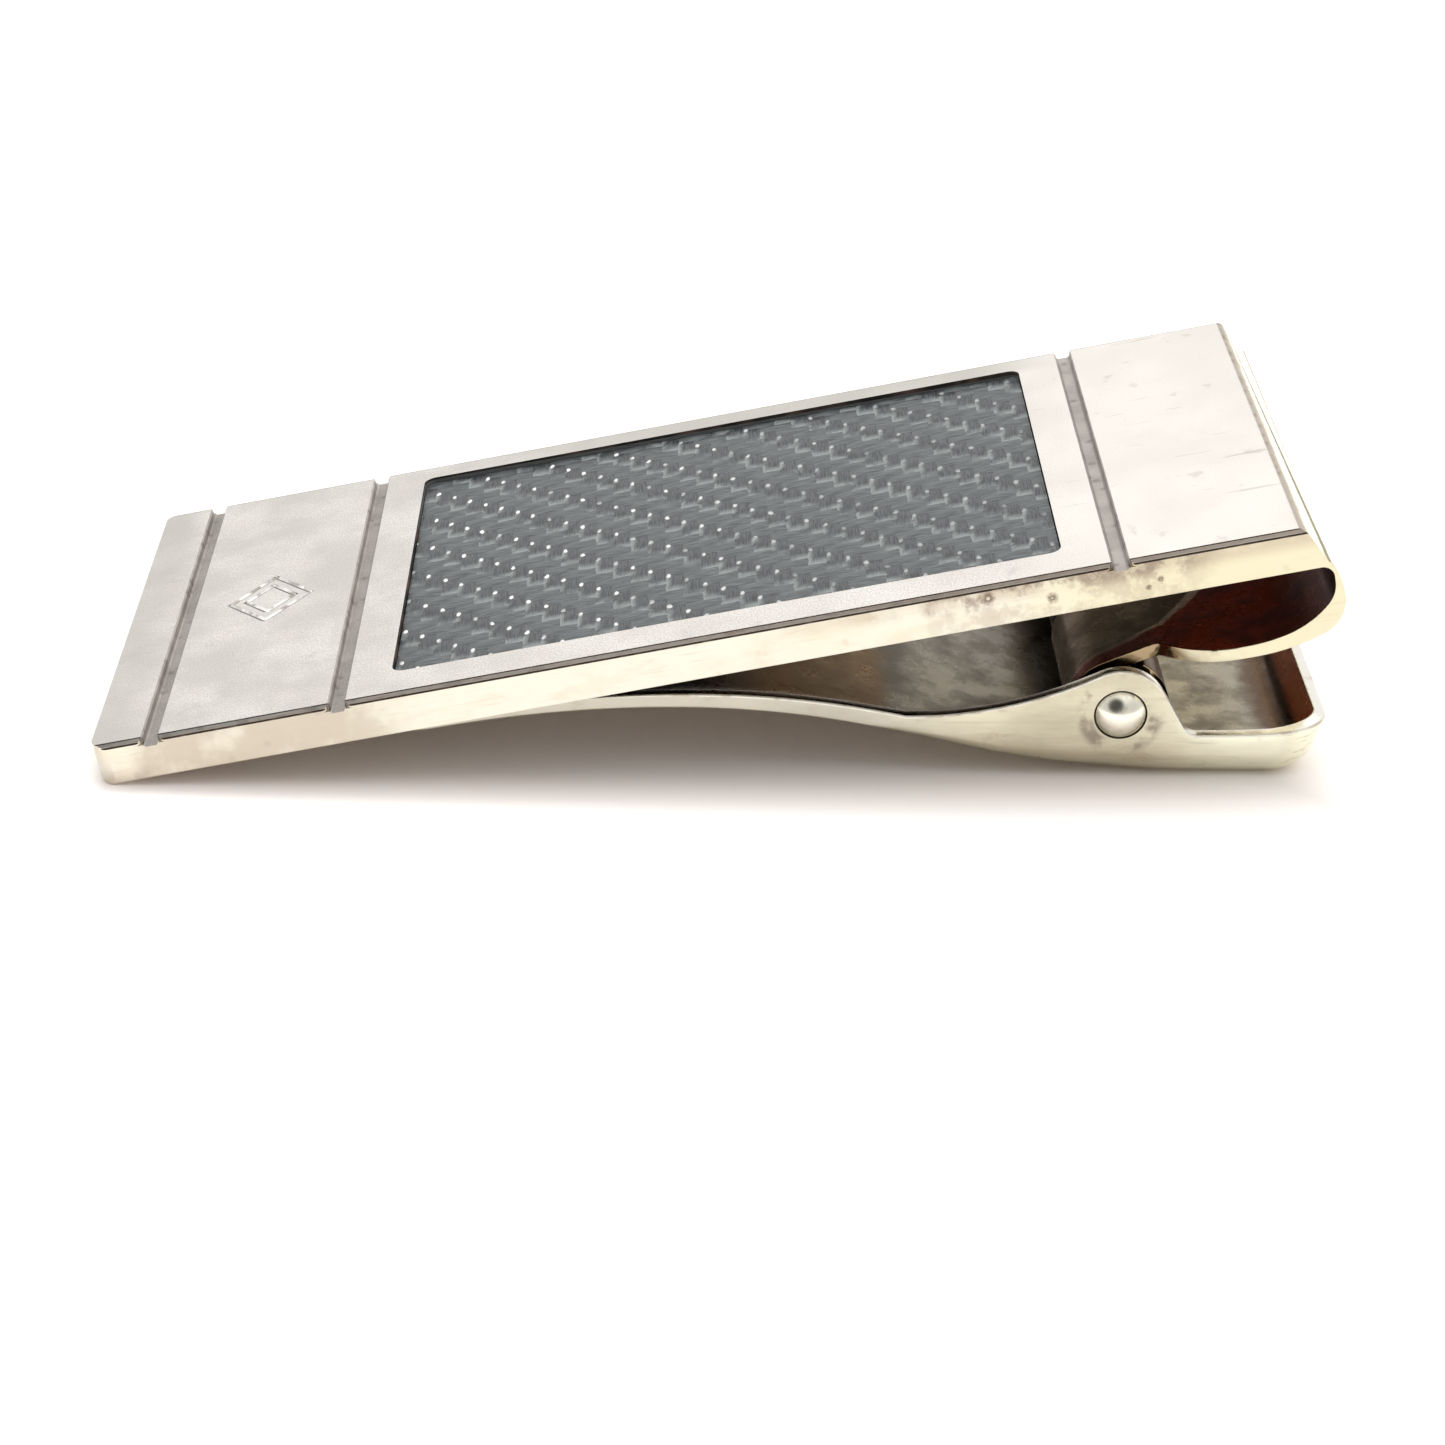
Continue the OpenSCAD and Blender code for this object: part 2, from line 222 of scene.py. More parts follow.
def cut(target, cutters):
    """Takes the cutters out of target and deletes them."""
    for cutter in cutters:
        boolean = target.modifiers.new("cut", "BOOLEAN")
        boolean.operation = "DIFFERENCE"
        boolean.solver = "MANIFOLD"
        boolean.object = cutter
        bpy.context.view_layer.update()
        graph = bpy.context.evaluated_depsgraph_get()
        mesh = bpy.data.meshes.new_from_object(target.evaluated_get(graph))
        target.modifiers.clear()
        target.data = mesh
        bpy.data.objects.remove(cutter)


def rounded_rect(x0, y0, x1, y1, r):
    steps = []
    for run in (x1 - x0 - 2 * r, y1 - y0 - 2 * r) * 2:
        steps += [(run, 0), (r, 90)]
    return walk((x0 + r, y0), 0, steps, 9)[:-1]


def soften(obj, width, chosen):
    """Rounds the edges for which chosen(edge, angle in degrees) is true."""
    bm = bmesh.new()
    bm.from_mesh(obj.data)
    bmesh.ops.remove_doubles(bm, verts=bm.verts, dist=0.002)
    bmesh.ops.dissolve_degenerate(bm, edges=bm.edges, dist=0.002)
    bm.normal_update()
    inner = [e for e in bm.edges if len(e.link_faces) == 2]
    edges = [e for e in inner if chosen(e, math.degrees(e.calc_face_angle(0)))]
    bmesh.ops.bevel(bm, geom=edges, offset=width, segments=2, profile=0.5, affect="EDGES",
                    clamp_overlap=False)
    bm.to_mesh(obj.data)
    bm.free()


def finish_piece(obj, name, body, place, node, smooth_angle=32):
    """Moves a millimetre mesh into the row frame in metres, shades it smooth and hands it to its body."""
    obj.name = name
    obj.data.name = name
    obj.data.transform(place @ Matrix.Scale(MM, 4))
    obj.data.shade_smooth()
    obj.data.set_sharp_from_angle(angle=math.radians(smooth_angle))
    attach(obj, body)
    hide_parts(node)


def weighted_normals(obj):
    modifier = obj.modifiers.new("normals", "WEIGHTED_NORMAL")
    modifier.keep_sharp = True
    modifier.weight = 100


# ---- node helpers
class Nodes:
    """A node tree, with short calls for the nodes that the materials and the light here use."""

    def __init__(self, tree):
        self.tree = tree

    def put(self, socket, value):
        if isinstance(value, bpy.types.NodeSocket):
            self.tree.links.new(value, socket)
        else:
            socket.default_value = value

    def node(self, kind, *values, **settings):
        """A new node with its settings, and its first inputs filled."""
        node = self.tree.nodes.new("ShaderNode" + kind)
        for name, value in settings.items():
            setattr(node, name, value)
        for socket, value in zip(node.inputs, values):
            self.put(socket, value)
        return node

    def math(self, operation, *values):
        return self.node("Math", *values, operation=operation).outputs[0]

    def times(self, first, *others):
        for other in others:
            first = self.math("MULTIPLY", first, other)
        return first

    def plus(self, a, b):
        return self.math("ADD", a, b)

    def minus(self, a, b):
        return self.math("SUBTRACT", a, b)

    def length(self, a, b):
        return self.math("SQRT", self.plus(self.times(a, a), self.times(b, b)))

    def separate(self, vector):
        return self.node("SeparateXYZ", vector).outputs

    def ramp(self, value, low, high, top=1.0, bottom=0.0):
        """Rises from bottom to top while value goes from low to high."""
        numbers = value, low, high, bottom, top
        return self.node("MapRange", *numbers, interpolation_type="SMOOTHSTEP").outputs[0]

    def fall(self, value, low, high, top=1.0):
        return self.ramp(value, low, high, 0.0, top)

    def band(self, value, rise_from, rise_to, fall_from, fall_to, top=1.0):
        return self.times(self.ramp(value, rise_from, rise_to), self.fall(value, fall_from, fall_to, top))

    def mix(self, share, a, b):
        node = self.node("Mix", share, data_type="RGBA")
        for socket, value in ((node.inputs[6], a), (node.inputs[7], b)):
            self.put(socket, (*value, 1.0) if isinstance(value, tuple) else value)
        return node.outputs[2]


class Shader(Nodes):
    """A material whose coordinates are millimetres in the plate frame or the table frame."""

    def __init__(self, name, frame_to_row=PLATE_TO_ROW):
        self.material = bpy.data.materials.new(name)
        self.material.use_nodes = True
        super().__init__(self.material.node_tree)
        in_metres = self.node("TexCoord").outputs["Object"]
        into_frame = self.node("Mapping", in_metres, frame_to_row.translation, frame_to_row.to_euler(),
                               (MM, MM, MM), vector_type="TEXTURE")
        self.coords = into_frame.outputs[0]

    def texture(self, kind, factors, at, *settings):
        """A texture node whose unit cell is laid out by factors a millimetre, from the place at."""
        place = self.node("Mapping", self.coords, at, (0, 0, 0), factors)
        return self.node(kind, place.outputs[0], 0.0, 1.0, *settings)

    def noise(self, per_mm, detail=3.0, roughness=0.55, factors=(1, 1, 1), at=(0, 0, 0)):
        """Noise with per_mm features a millimetre, stretched by factors."""
        return self.texture("TexNoise", [per_mm * f for f in factors], at, detail, roughness).outputs[0]

    def cells(self, per_mm, at=(0, 0, 0)):
        """Distance to scattered points, for pits and specks."""
        return self.texture("TexVoronoi", [per_mm] * 3, at).outputs["Distance"]

    def bump(self, height, strength, distance_mm, over=None):
        node = self.node("Bump", strength, distance_mm * MM)
        self.put(node.inputs["Height"], height)
        if over is not None:
            self.put(node.inputs["Normal"], over)
        return node.outputs[0]

    def coat(self, share, tone):
        """Lays a tone over the colour so far."""
        self.colour = self.mix(share, self.colour, tone)

    def finish(self, rough, Metallic=1.0, **values):
        surface = self.tree.nodes["Principled BSDF"]
        values = {"Base Color": self.colour, "Metallic": Metallic, "Roughness": rough, **values}
        for name, value in values.items():
            value = (*value, 1.0) if isinstance(value, tuple) else value
            self.put(surface.inputs[name.replace("_", " ")], value)
        return self.material


def shader(name, frame_to_row=PLATE_TO_ROW):
    """A new material with its three coordinates."""
    s = Shader(name, frame_to_row)
    return s, *s.separate(s.coords)


# ---- materials
def brushed_top():
    """Satin face: fine grain, faint clouds and dark scuffs; darker at the tip and along the far rim, and
    paler from the tip towards the bend.
    """
    s, x, y, _ = shader("brushed_top")
    grain = s.noise(11, 2, factors=(1, 0.7, 1))
    clouds = s.noise(0.22, 5, 0.6)
    pink = s.noise(0.30, 3, at=(8, 2, 5))
    s.colour = s.mix(s.ramp(x, 6, 32), (0.60, 0.575, 0.54), (0.70, 0.665, 0.625))
    s.coat(s.ramp(clouds, 0.38, 0.66, 0.7), (0.77, 0.745, 0.71))
    s.coat(s.ramp(pink, 0.50, 0.75, 0.5), (0.74, 0.67, 0.64))
    s.coat(s.ramp(grain, 0.38, 0.62, 0.6), (0.47, 0.445, 0.42))
    s.coat(s.ramp(x, 42, 50, 0.8), (0.75, 0.715, 0.665))
    # Darker along the far rim and at the tip.
    far_rim = s.times(s.band(x, 12, 26, 44, 50, 0.7), s.ramp(y, 25.2, 26.4))
    darker = s.math("MAXIMUM", s.fall(x, 0.8, 2.6, 0.45), far_rim)
    s.coat(darker, (0.46, 0.445, 0.405))
    scuff = s.ramp(s.noise(0.55, 6, 0.68, at=(4, 4, 4)), 0.60, 0.70, 0.5)
    s.coat(scuff, (0.50, 0.465, 0.44))
    scratch = s.ramp(s.noise(0.8, 2, factors=(0.25, 2.6, 1), at=(5, 2, 9)), 0.68, 0.71)
    scratch = s.times(scratch, s.ramp(x, 46, 52, 0.4, 0.15))
    s.coat(scratch, (0.36, 0.335, 0.32))
    height = s.bump(grain, 0.30, 0.015, s.bump(scratch, 0.25, 0.015))
    return s.finish(s.ramp(clouds, 0.3, 0.7, 0.46, 0.40), Normal=height)


# The larger pits in the near side: x, z, radius.
SIDE_PITS = ((43.0, -0.62, 0.30), (45.9, -1.15, 0.26), (51.0, -1.2, 0.17), (50.4, -1.5, 0.14))


def polished_side():
    """Ivory-toned polish: tan at the tip, stained and pitted towards the bend, brown on the tongue's edge
    as a painted reflection of the shaded ear beside it.
    """
    s, x, _, z = shader("polished_side")
    clouds = s.noise(0.22, 4, 0.6, factors=(0.7, 1, 1.6))
    haze = s.noise(0.9, 5, 0.62, factors=(0.6, 1, 1.3), at=(2, 5, 3))
    s.colour = s.mix(s.ramp(clouds, 0.45, 0.72, 0.6), (0.69, 0.665, 0.565), (0.685, 0.64, 0.51))
    peach = s.ramp(s.noise(0.6, 5, 0.65, factors=(0.5, 1, 1.5), at=(8, 8, 2)), 0.46, 0.62, 0.5)
    s.coat(peach, (0.66, 0.58, 0.46))
    s.coat(s.ramp(x, 42, 50, 0.8), (0.64, 0.59, 0.40))
    patchy = s.ramp(s.noise(0.35, 4, at=(3, 1, 8)), 0.36, 0.56, 1.0, 0.35)
    s.coat(s.times(s.band(x, 1.4, 2.4, 12, 17), patchy), (0.50, 0.445, 0.36))
    stained = s.band(x, 37, 43, 51.5, 54.5)
    veil = s.times(s.ramp(z, -1.2, -0.4, 0.6), s.ramp(x, 30, 40))
    veil = s.times(veil, s.ramp(s.noise(0.4, 5, 0.6, at=(1, 6, 2)), 0.36, 0.56, 1.0, 0.2))
    s.coat(veil, (0.42, 0.345, 0.255))
    under_edge = s.times(s.ramp(z, -1.4, -0.5, 1.0, 0.35), stained)
    blot = s.ramp(s.noise(0.55, 5, 0.66, at=(7, 1, 2)), 0.42, 0.56)
    s.coat(s.times(under_edge, blot, 0.85), (0.255, 0.20, 0.155))
    s.coat(s.ramp(haze, 0.56, 0.76, 0.4), (0.53, 0.44, 0.33))
    s.coat(s.ramp(s.noise(3.0, 2, factors=(0.10, 1, 2.2)), 0.60, 0.70, 0.3), (0.52, 0.45, 0.33))
    pit = s.plus(s.cells(0.55, (1, 3, 6)), s.times(s.noise(2.5, 2), 0.10))
    deep = s.plus(0.10, s.times(stained, 0.85))
    ring = s.times(s.fall(pit, 0.19, 0.30), stained, 0.5)
    s.coat(ring, (0.34, 0.27, 0.20))
    pit = s.times(s.fall(pit, 0.12, 0.20), deep)
    s.coat(pit, (0.11, 0.07, 0.05))
    ragged = s.times(s.noise(2.2, 4, 0.7, at=(5, 5, 1)), 2.4)
    for pit_x, pit_z, radius in SIDE_PITS:
        away = s.length(s.minus(x, pit_x), s.minus(z, pit_z))
        reach = s.plus(s.math("DIVIDE", away, radius), ragged)
        s.coat(s.fall(reach, 1.5, 2.6, 0.85), (0.15, 0.105, 0.075))
        s.coat(s.fall(reach, 1.25, 1.45, 0.8), (0.60, 0.55, 0.45))
    # Painted reflection: the tongue's edge is brown and darker where it mirrors the shaded ear beside it.
    tongue = s.times(s.fall(x, 51.2, 52.0, 0.9), s.fall(z, -4.5, -4.0))
    s.coat(tongue, (0.30, 0.21, 0.115))
    height = s.bump(s.times(pit, -1.0), 0.7, 0.06, s.bump(clouds, 0.25, 0.30, s.bump(haze, 0.10, 0.06)))
    return s.finish(s.ramp(haze, 0.4, 0.75, 0.30, 0.14), Normal=height)


def edge_line():
    """Slopes between the top face and the sides: worn and pinkish, paler above, ivory below."""
    s, x, _, z = shader("edge_line")
    worn = s.noise(1.2, 4, factors=(0.5, 1, 1))
    s.colour = s.mix(s.ramp(x, 25, 42), (0.66, 0.60, 0.54), (0.52, 0.45, 0.385))
    s.coat(s.ramp(worn, 0.46, 0.70), (0.38, 0.305, 0.255))
    wander = s.plus(z, s.times(s.minus(worn, 0.5), 0.08))
    above = s.times(s.ramp(wander, -0.10, -0.07), s.fall(x, 12, 17, 0.85))
    s.coat(above, (0.60, 0.575, 0.54))
    s.coat(s.fall(wander, -0.15, -0.12, 0.9), (0.68, 0.62, 0.51))
    return s.finish(s.ramp(worn, 0.3, 0.7, 0.4, 0.22))


def grime_and_shade():
    """Dark residue in fine lines and seams; the same near-black on the knuckles near the sides is painted
    shade.
    """
    s = Shader("grime_and_shade")
    thin = s.noise(0.8, 4)
    s.colour = s.mix(s.ramp(thin, 0.50, 0.75), (0.07, 0.045, 0.035), (0.26, 0.20, 0.165))
    return s.finish(0.6, Metallic=0.3)


def groove_metal(name, tip_tone, bend_tone):
    """Matt grey grooves with dark specks, paler towards the bend."""
    s, x, _, _ = shader(name)
    grain = s.noise(9, 3)
    speck = s.fall(s.cells(1.0, (4, 1, 2)), 0.10, 0.30)
    shade = s.noise(0.6, 4, at=(1, 8, 2))
    s.colour = s.mix(s.ramp(x, 14, 45), tip_tone, bend_tone)
    s.coat(s.ramp(shade, 0.35, 0.7, 0.35), (0.12, 0.105, 0.095))
    s.coat(s.times(speck, 0.45), (0.09, 0.07, 0.06))
    s.coat(s.ramp(grain, 0.4, 0.7, 0.4), (0.46, 0.43, 0.40))
    return s.finish(0.6, Metallic=0.6, Normal=s.bump(grain, 0.5, 0.03))


def engraving(name, bright, darker):
    """Cut metal in the mark's lines, made as a lit and a shaded copy: painted light and shade by which way
    a wall faces.
    """
    s = Shader(name)
    worn = s.noise(0.9, 3)
    s.colour = s.mix(s.ramp(worn, 0.42, 0.62), bright, darker)
    return s.finish(0.22, Normal=s.bump(worn, 0.2, 0.05))


def window_wall():
    """Near-black walls of the inlay's window, painted shade of the recess, with a fillet of grey resin
    along the far wall's foot.
    """
    s, x, y, z = shader("window_wall")
    wall_mottle = s.noise(0.5, 3)
    s.colour = s.mix(s.ramp(wall_mottle, 0.42, 0.70), (0.014, 0.012, 0.011), (0.15, 0.095, 0.07))
    above_foot = s.minus(z, s.ramp(x, 14, 46, -0.23, -0.12))
    fillet = s.times(s.fall(above_foot, -0.02, 0.02), s.math("GREATER_THAN", y, 20))
    s.coat(fillet, (0.16, 0.165, 0.165))
    return s.finish(0.5, Metallic=0.2)


def bend_inside():
    """Inside of the bend: dark red, partly tarnished metal and partly painted reflection, with painted
    shade towards the top and the far end; grey painted reflection of the plate's underside on the tongue
    and knuckle, with a painted highlight line between.
    """
    s, x, y, z = shader("bend_inside")
    # Painted reflection: near the sides, the tongue and the roll mirror the plate's underside as grey, up
    # to a line that stands for the plate's mirrored edge; the knuckle's lower side is grey too.
    from_edge = s.math("MINIMUM", y, s.minus(CLIP_W, y))
    steep = s.times(s.math("MAXIMUM", s.minus(x, 51), 0.0), 1.15)
    line = s.plus(s.plus(3.4, s.times(s.minus(x, 48), 0.25)), steep)
    wander = s.times(s.minus(s.noise(0.8, 3), 0.5), 0.8)
    beyond = s.plus(s.minus(from_edge, line), wander)
    grey_reflection = s.times(s.ramp(beyond, -0.25, 0.1), s.fall(x, 54.5, 55.5))
    knuckle = s.times(s.ramp(x, 48.2, 48.8), s.fall(z, -6.6, -6.3))
    grey_reflection = s.math("MAXIMUM", grey_reflection, knuckle)
    clouds = s.noise(0.5, 5, 0.6)
    # Dark red, partly tarnished metal and partly painted reflection of the bend's closed end; painted shade
    # darkens it towards the far end and the top, and it is darker on the roll.
    red = s.mix(s.ramp(clouds, 0.36, 0.66), (0.30, 0.045, 0.016), (0.09, 0.014, 0.007))
    red = s.mix(s.ramp(x, 55, 58, 0.85), red, (0.02, 0.010, 0.006))
    red = s.mix(s.ramp(z, -4.8, -3.0, 0.85), red, (0.025, 0.008, 0.005))
    red = s.mix(s.fall(x, 49.5, 52, 0.85), red, (0.07, 0.016, 0.008))
    grey = s.mix(s.ramp(clouds, 0.36, 0.66), (0.18, 0.15, 0.12), (0.075, 0.06, 0.045))
    s.colour = s.mix(grey_reflection, red, grey)
    # Painted highlight: a bright line along the kink, at the edge of the grey painted reflection.
    width = s.ramp(x, 50, 53, 0.6, 0.25)
    bright = s.fall(s.math("DIVIDE", s.math("ABSOLUTE", s.plus(beyond, 0.1)), width), 0.45, 1.0)
    along = s.times(s.ramp(x, 48.5, 52, 0.85, 0.15), s.fall(x, 54.5, 55.5))
    s.coat(s.times(bright, along, s.minus(1.0, knuckle)), (0.60, 0.54, 0.50))
    return s.finish(s.ramp(clouds, 0.3, 0.7, 0.36, 0.22), Metallic=0.7,
                    Specular_Tint=(0.45, 0.39, 0.35), Normal=s.bump(clouds, 0.15, 0.2))


def lever_outside():
    """Polished lever: greenish ivory, long faint streaks, a tarnished ring round the rivet; darker towards
    the arm (painted shade) and paler at the tail (painted light).
    """
    s, x, _, z = shader("lever_outside", TABLE_TO_ROW)
    clouds = s.noise(0.20, 4, 0.6, factors=(0.6, 1, 1.8), at=(3, 3, 3))
    haze = s.noise(0.9, 5, 0.62, factors=(0.5, 1, 1.2), at=(9, 5, 3))
    s.colour = s.mix(s.ramp(clouds, 0.36, 0.68), (0.635, 0.59, 0.45), (0.49, 0.45, 0.335))
    # Painted shade: darker towards the arm, under the plate.
    s.coat(s.fall(x, 36, 43, 0.75), (0.44, 0.415, 0.355))
    # Painted light: paler at the tail.
    s.coat(s.ramp(x, 50, 55, 0.95), (0.84, 0.83, 0.67))
    s.coat(s.ramp(haze, 0.55, 0.76, 0.5), (0.40, 0.335, 0.255))
    streak = s.ramp(s.noise(2.6, 2, factors=(0.09, 1, 2.4), at=(1, 2, 3)), 0.56, 0.70, 0.4)
    s.coat(streak, (0.47, 0.42, 0.315))
    away = s.length(s.minus(x, PIN_AT[0]), s.minus(z, PIN_AT[1]))
    ring = s.band(away, 1.25, 1.5, 1.8, 2.3)
    ring = s.times(ring, s.ramp(s.noise(0.7, 4, at=(2, 9, 6)), 0.44, 0.62, 0.75))
    s.coat(ring, (0.20, 0.16, 0.125))
    height = s.bump(clouds, 0.25, 0.30, s.bump(haze, 0.12, 0.06))
    return s.finish(s.ramp(haze, 0.4, 0.75, 0.30, 0.15), Normal=height)


def lever_inside():
    """Inside of the lever: blotched duller grey, darker along the flange and arm and near-black towards the
    arm's end as painted shade under the plate, an orange-brown band along the arm, red-brown at the tail's
    end wall.
    """
    s, x, _, z = shader("lever_inside", TABLE_TO_ROW)
    clouds = s.noise(0.38, 5, 0.62)
    fine = s.noise(2.2, 4, at=(6, 6, 1))
    s.colour = s.mix(s.ramp(clouds, 0.38, 0.64), (0.38, 0.35, 0.295), (0.19, 0.165, 0.135))
    # Painted shade: darker along the flange and the arm, under the plate.
    s.coat(s.fall(x, 44, 48, 0.45), (0.075, 0.065, 0.05))
    s.coat(s.ramp(fine, 0.55, 0.72, 0.5), (0.16, 0.12, 0.09))
    place = s.plus(x, s.times(s.minus(s.noise(0.6, 3), 0.5), 1.2))
    end_rust = s.ramp(place, LEVER_END - 3.3, LEVER_END - 2.3, 0.92)
    s.coat(end_rust, (0.11, 0.058, 0.030))
    end_wall = s.times(s.ramp(z, 1.0, 1.7), s.ramp(x, LEVER_END - 2.6, LEVER_END - 2.2))
    s.coat(s.times(end_wall, 0.9), (0.62, 0.15, 0.03))
    arm_orange_band = s.band(place, 28, 33, 37.2, 38.4)
    s.coat(s.times(arm_orange_band, 0.85), (0.20, 0.115, 0.035))
    # Painted shade: near-black towards the arm's end, deep under the plate.
    s.coat(s.fall(place, 28, 33, 0.85), (0.02, 0.017, 0.014))
    return s.finish(s.ramp(clouds, 0.3, 0.7, 0.36, 0.22), Normal=s.bump(clouds, 0.2, 0.2),
                    Metallic=s.ramp(end_wall, 0.0, 1.0, 0.35, 1.0))


def rim_highlight_and_shade():
    """Rims of the lever's sheet: near-black along the arm and the flange (painted shade under the plate),
    bright from the ears to the tail (painted highlight).
    """
    s, x, _, _ = shader("rim_highlight_and_shade", TABLE_TO_ROW)
    worn = s.noise(0.8, 4, at=(2, 2, 8))
    s.colour = s.mix(s.ramp(worn, 0.50, 0.75), (0.88, 0.85, 0.79), (0.62, 0.55, 0.46))
    shade_reach = s.plus(x, s.times(worn, 2))
    # Painted shade: near-black where the rim runs under the plate, with a ragged end.
    s.coat(s.fall(shade_reach, 46, 48.5, 0.93), (0.065, 0.04, 0.025))
    return s.finish(s.ramp(worn, 0.3, 0.7, 0.34, 0.20))


def rim_edge_highlight():
    """The sheet's outer edge, pale and matt: a painted highlight along the rim."""
    s = Shader("rim_edge_highlight", TABLE_TO_ROW)
    worn = s.noise(1.1, 4, at=(6, 2, 3))
    s.colour = s.mix(s.ramp(worn, 0.50, 0.72), (0.84, 0.81, 0.73), (0.62, 0.56, 0.46))
    return s.finish(s.ramp(worn, 0.3, 0.7, 0.6, 0.5))


def seat_shadow():
    """Painted shadow in the rivet head's seat: near-black metal."""
    s = Shader("seat_shadow", TABLE_TO_ROW)
    s.colour = s.mix(s.ramp(s.noise(2.0, 2), 0.4, 0.7), (0.015, 0.011, 0.009), (0.06, 0.045, 0.035))
    return s.finish(0.6, Metallic=0.2)


WEAVE_PITCH = (0.88, 0.892)
WEAVE_START = (0.161, -0.253)    # where the pattern starts, from the window's corner
WEAVE_SKEW = (0.018, -0.0074)    # the cloth lies slightly askew


def carbon():
    """2 by 2 twill: dark tows along y, lighter tows along x, pale resin lines, and bright float ends that
    are painted highlights, stronger towards the tip end.
    """
    s, x, y, _ = shader("carbon_twill")
    along, over = s.minus(x, WINDOW_FROM_TIP), s.minus(y, WINDOW_MARGIN)

    def tow_count(axis, place, other, seed):
        askew = s.math("MULTIPLY_ADD", other, WEAVE_SKEW[axis], s.minus(place, WEAVE_START[axis]))
        wander = s.times(s.minus(s.noise(1.3, 2, at=seed), 0.5), 0.3)
        return s.plus(s.math("DIVIDE", askew, WEAVE_PITCH[axis]), wander)

    u, v = tow_count(0, along, over, (0, 0, 0)), tow_count(1, over, along, (7, 3, 1))
    across = s.math("FRACT", u)
    warp = s.math("MODULO", s.plus(s.plus(v, s.math("FLOOR", u)), 40.0), 4.0)
    warp_over = s.math("LESS_THAN", warp, 2.0)
    fibres_y = s.noise(9, 2, factors=(1.7, 0.12, 1))
    fibres_x = s.noise(9, 2, factors=(0.12, 1.7, 1))
    tow_y = s.mix(s.ramp(fibres_y, 0.32, 0.68), (0.007, 0.009, 0.011), (0.060, 0.068, 0.072))
    tow_x = s.mix(s.ramp(fibres_x, 0.32, 0.68), (0.026, 0.031, 0.034), (0.112, 0.125, 0.127))
    s.colour = s.mix(warp_over, tow_x, tow_y)
    patch = s.noise(0.9, 3, at=(6, 1, 4))
    bottom = s.times(s.fall(warp, 0.0, 0.80), s.ramp(patch, 0.36, 0.58, 1.0, 0.25))
    side = s.times(s.fall(across, 0.0, 0.42), s.ramp(patch, 0.42, 0.60))
    lines = s.times(s.math("MAXIMUM", bottom, side), warp_over)
    s.coat(s.times(lines, 0.64), (0.33, 0.37, 0.36))
    # Painted highlights: bright dots at the float ends, stronger towards the tip end.
    dx = s.math("DIVIDE", s.minus(across, 0.17), 0.13)
    dy = s.math("DIVIDE", s.minus(warp, 1.98), 0.25)
    reach = s.plus(s.times(dx, dx), s.times(dy, dy))
    fade = s.ramp(along, 4, 26, 0.30, 1.0)
    bright = s.times(fade, s.ramp(s.noise(1.1, 2, at=(9, 4, 1)), 0.35, 0.55, 1.0, 0.35))
    s.coat(s.times(s.fall(reach, 0.35, 1.3), bright), (1.0, 1.0, 0.98))
    height = s.plus(s.times(fibres_y, warp_over), s.times(fibres_x, s.minus(1.0, warp_over)))
    return s.finish(0.45, Metallic=0.0, Specular_IOR_Level=0.35, Coat_Weight=0.25,
                    Coat_Roughness=0.15, Normal=s.bump(height, 0.4, 0.03))


def mirror_head():
    """Polished rivet with a few warm scuffs."""
    s = Shader("rivet_mirror", TABLE_TO_ROW)
    scuff = s.noise(1.6, 3)
    s.colour = s.mix(s.ramp(scuff, 0.5, 0.75, 0.5), (0.86, 0.83, 0.71), (0.60, 0.54, 0.42))
    return s.finish(s.ramp(scuff, 0.35, 0.75, 0.28, 0.20))


def spring_steel():
    """Drawn wire."""
    s = Shader("spring_steel", TABLE_TO_ROW)
    drawn = s.noise(6, 2)
    s.colour = s.mix(s.ramp(drawn, 0.35, 0.65), (0.40, 0.39, 0.37), (0.22, 0.21, 0.20))
    return s.finish(0.32, Normal=s.bump(drawn, 0.2, 0.02))


def cured_epoxy():
    """Yellowish resin under the inlay."""
    s = Shader("cured_epoxy")
    s.colour = s.mix(s.ramp(s.noise(0.6, 3), 0.3, 0.7), (0.60, 0.52, 0.30), (0.70, 0.64, 0.44))
    return s.finish(0.4, Metallic=0.0)


# ---- face plate
RIM_BEVEL = 0.16       # the near and far top edges' bevel, worn narrower than nominal
LINE_W = 0.09          # the dark lines beside it
EDGE_BAND = RIM_BEVEL + LINE_W
PAST_BEND = 62.0       # x beyond the whole clip
FLARE = 0.32           # how far a groove's mouth widens at the plate's sides
MARK_INNER = 0.6       # the inner lozenge's length over the outer one's
MARK_HALF_W = 0.16     # half the width of the mark's lines, below the top face


def lozenge(length):
    """Corners of a lozenge about the mark's centre, long across the plate."""
    half_w = MARK_RATIO * length / 2
    return [(MARK_X, MID_Y - length / 2), (MARK_X + half_w, MID_Y), (MARK_X, MID_Y + length / 2),
            (MARK_X - half_w, MID_Y)]


def v_cut(start, end, half_w, depth):
    """A V-shaped cutter whose ridge runs from start to end, a little longer so that corners meet."""
    a, b = Vector((*start, 0)), Vector((*end, 0))
    along = (b - a).normalized()
    side = Vector((-along.y, along.x, 0)) * half_w * 2
    up = Vector((0, 0, depth))
    past = along * half_w * 0.8
    return solid_between(*([p + side + up, p - side + up, p - up] for p in (a - past, b + past)))


def mark_cutters():
    """The generic mark: two nested lozenges in fine lines."""
    rings = [lozenge(MARK_L), lozenge(MARK_L * MARK_INNER)]
    return [v_cut(ring[k], ring[(k + 1) % 4], MARK_HALF_W, MARK_DEPTH / 2)
            for ring in rings for k in range(4)]


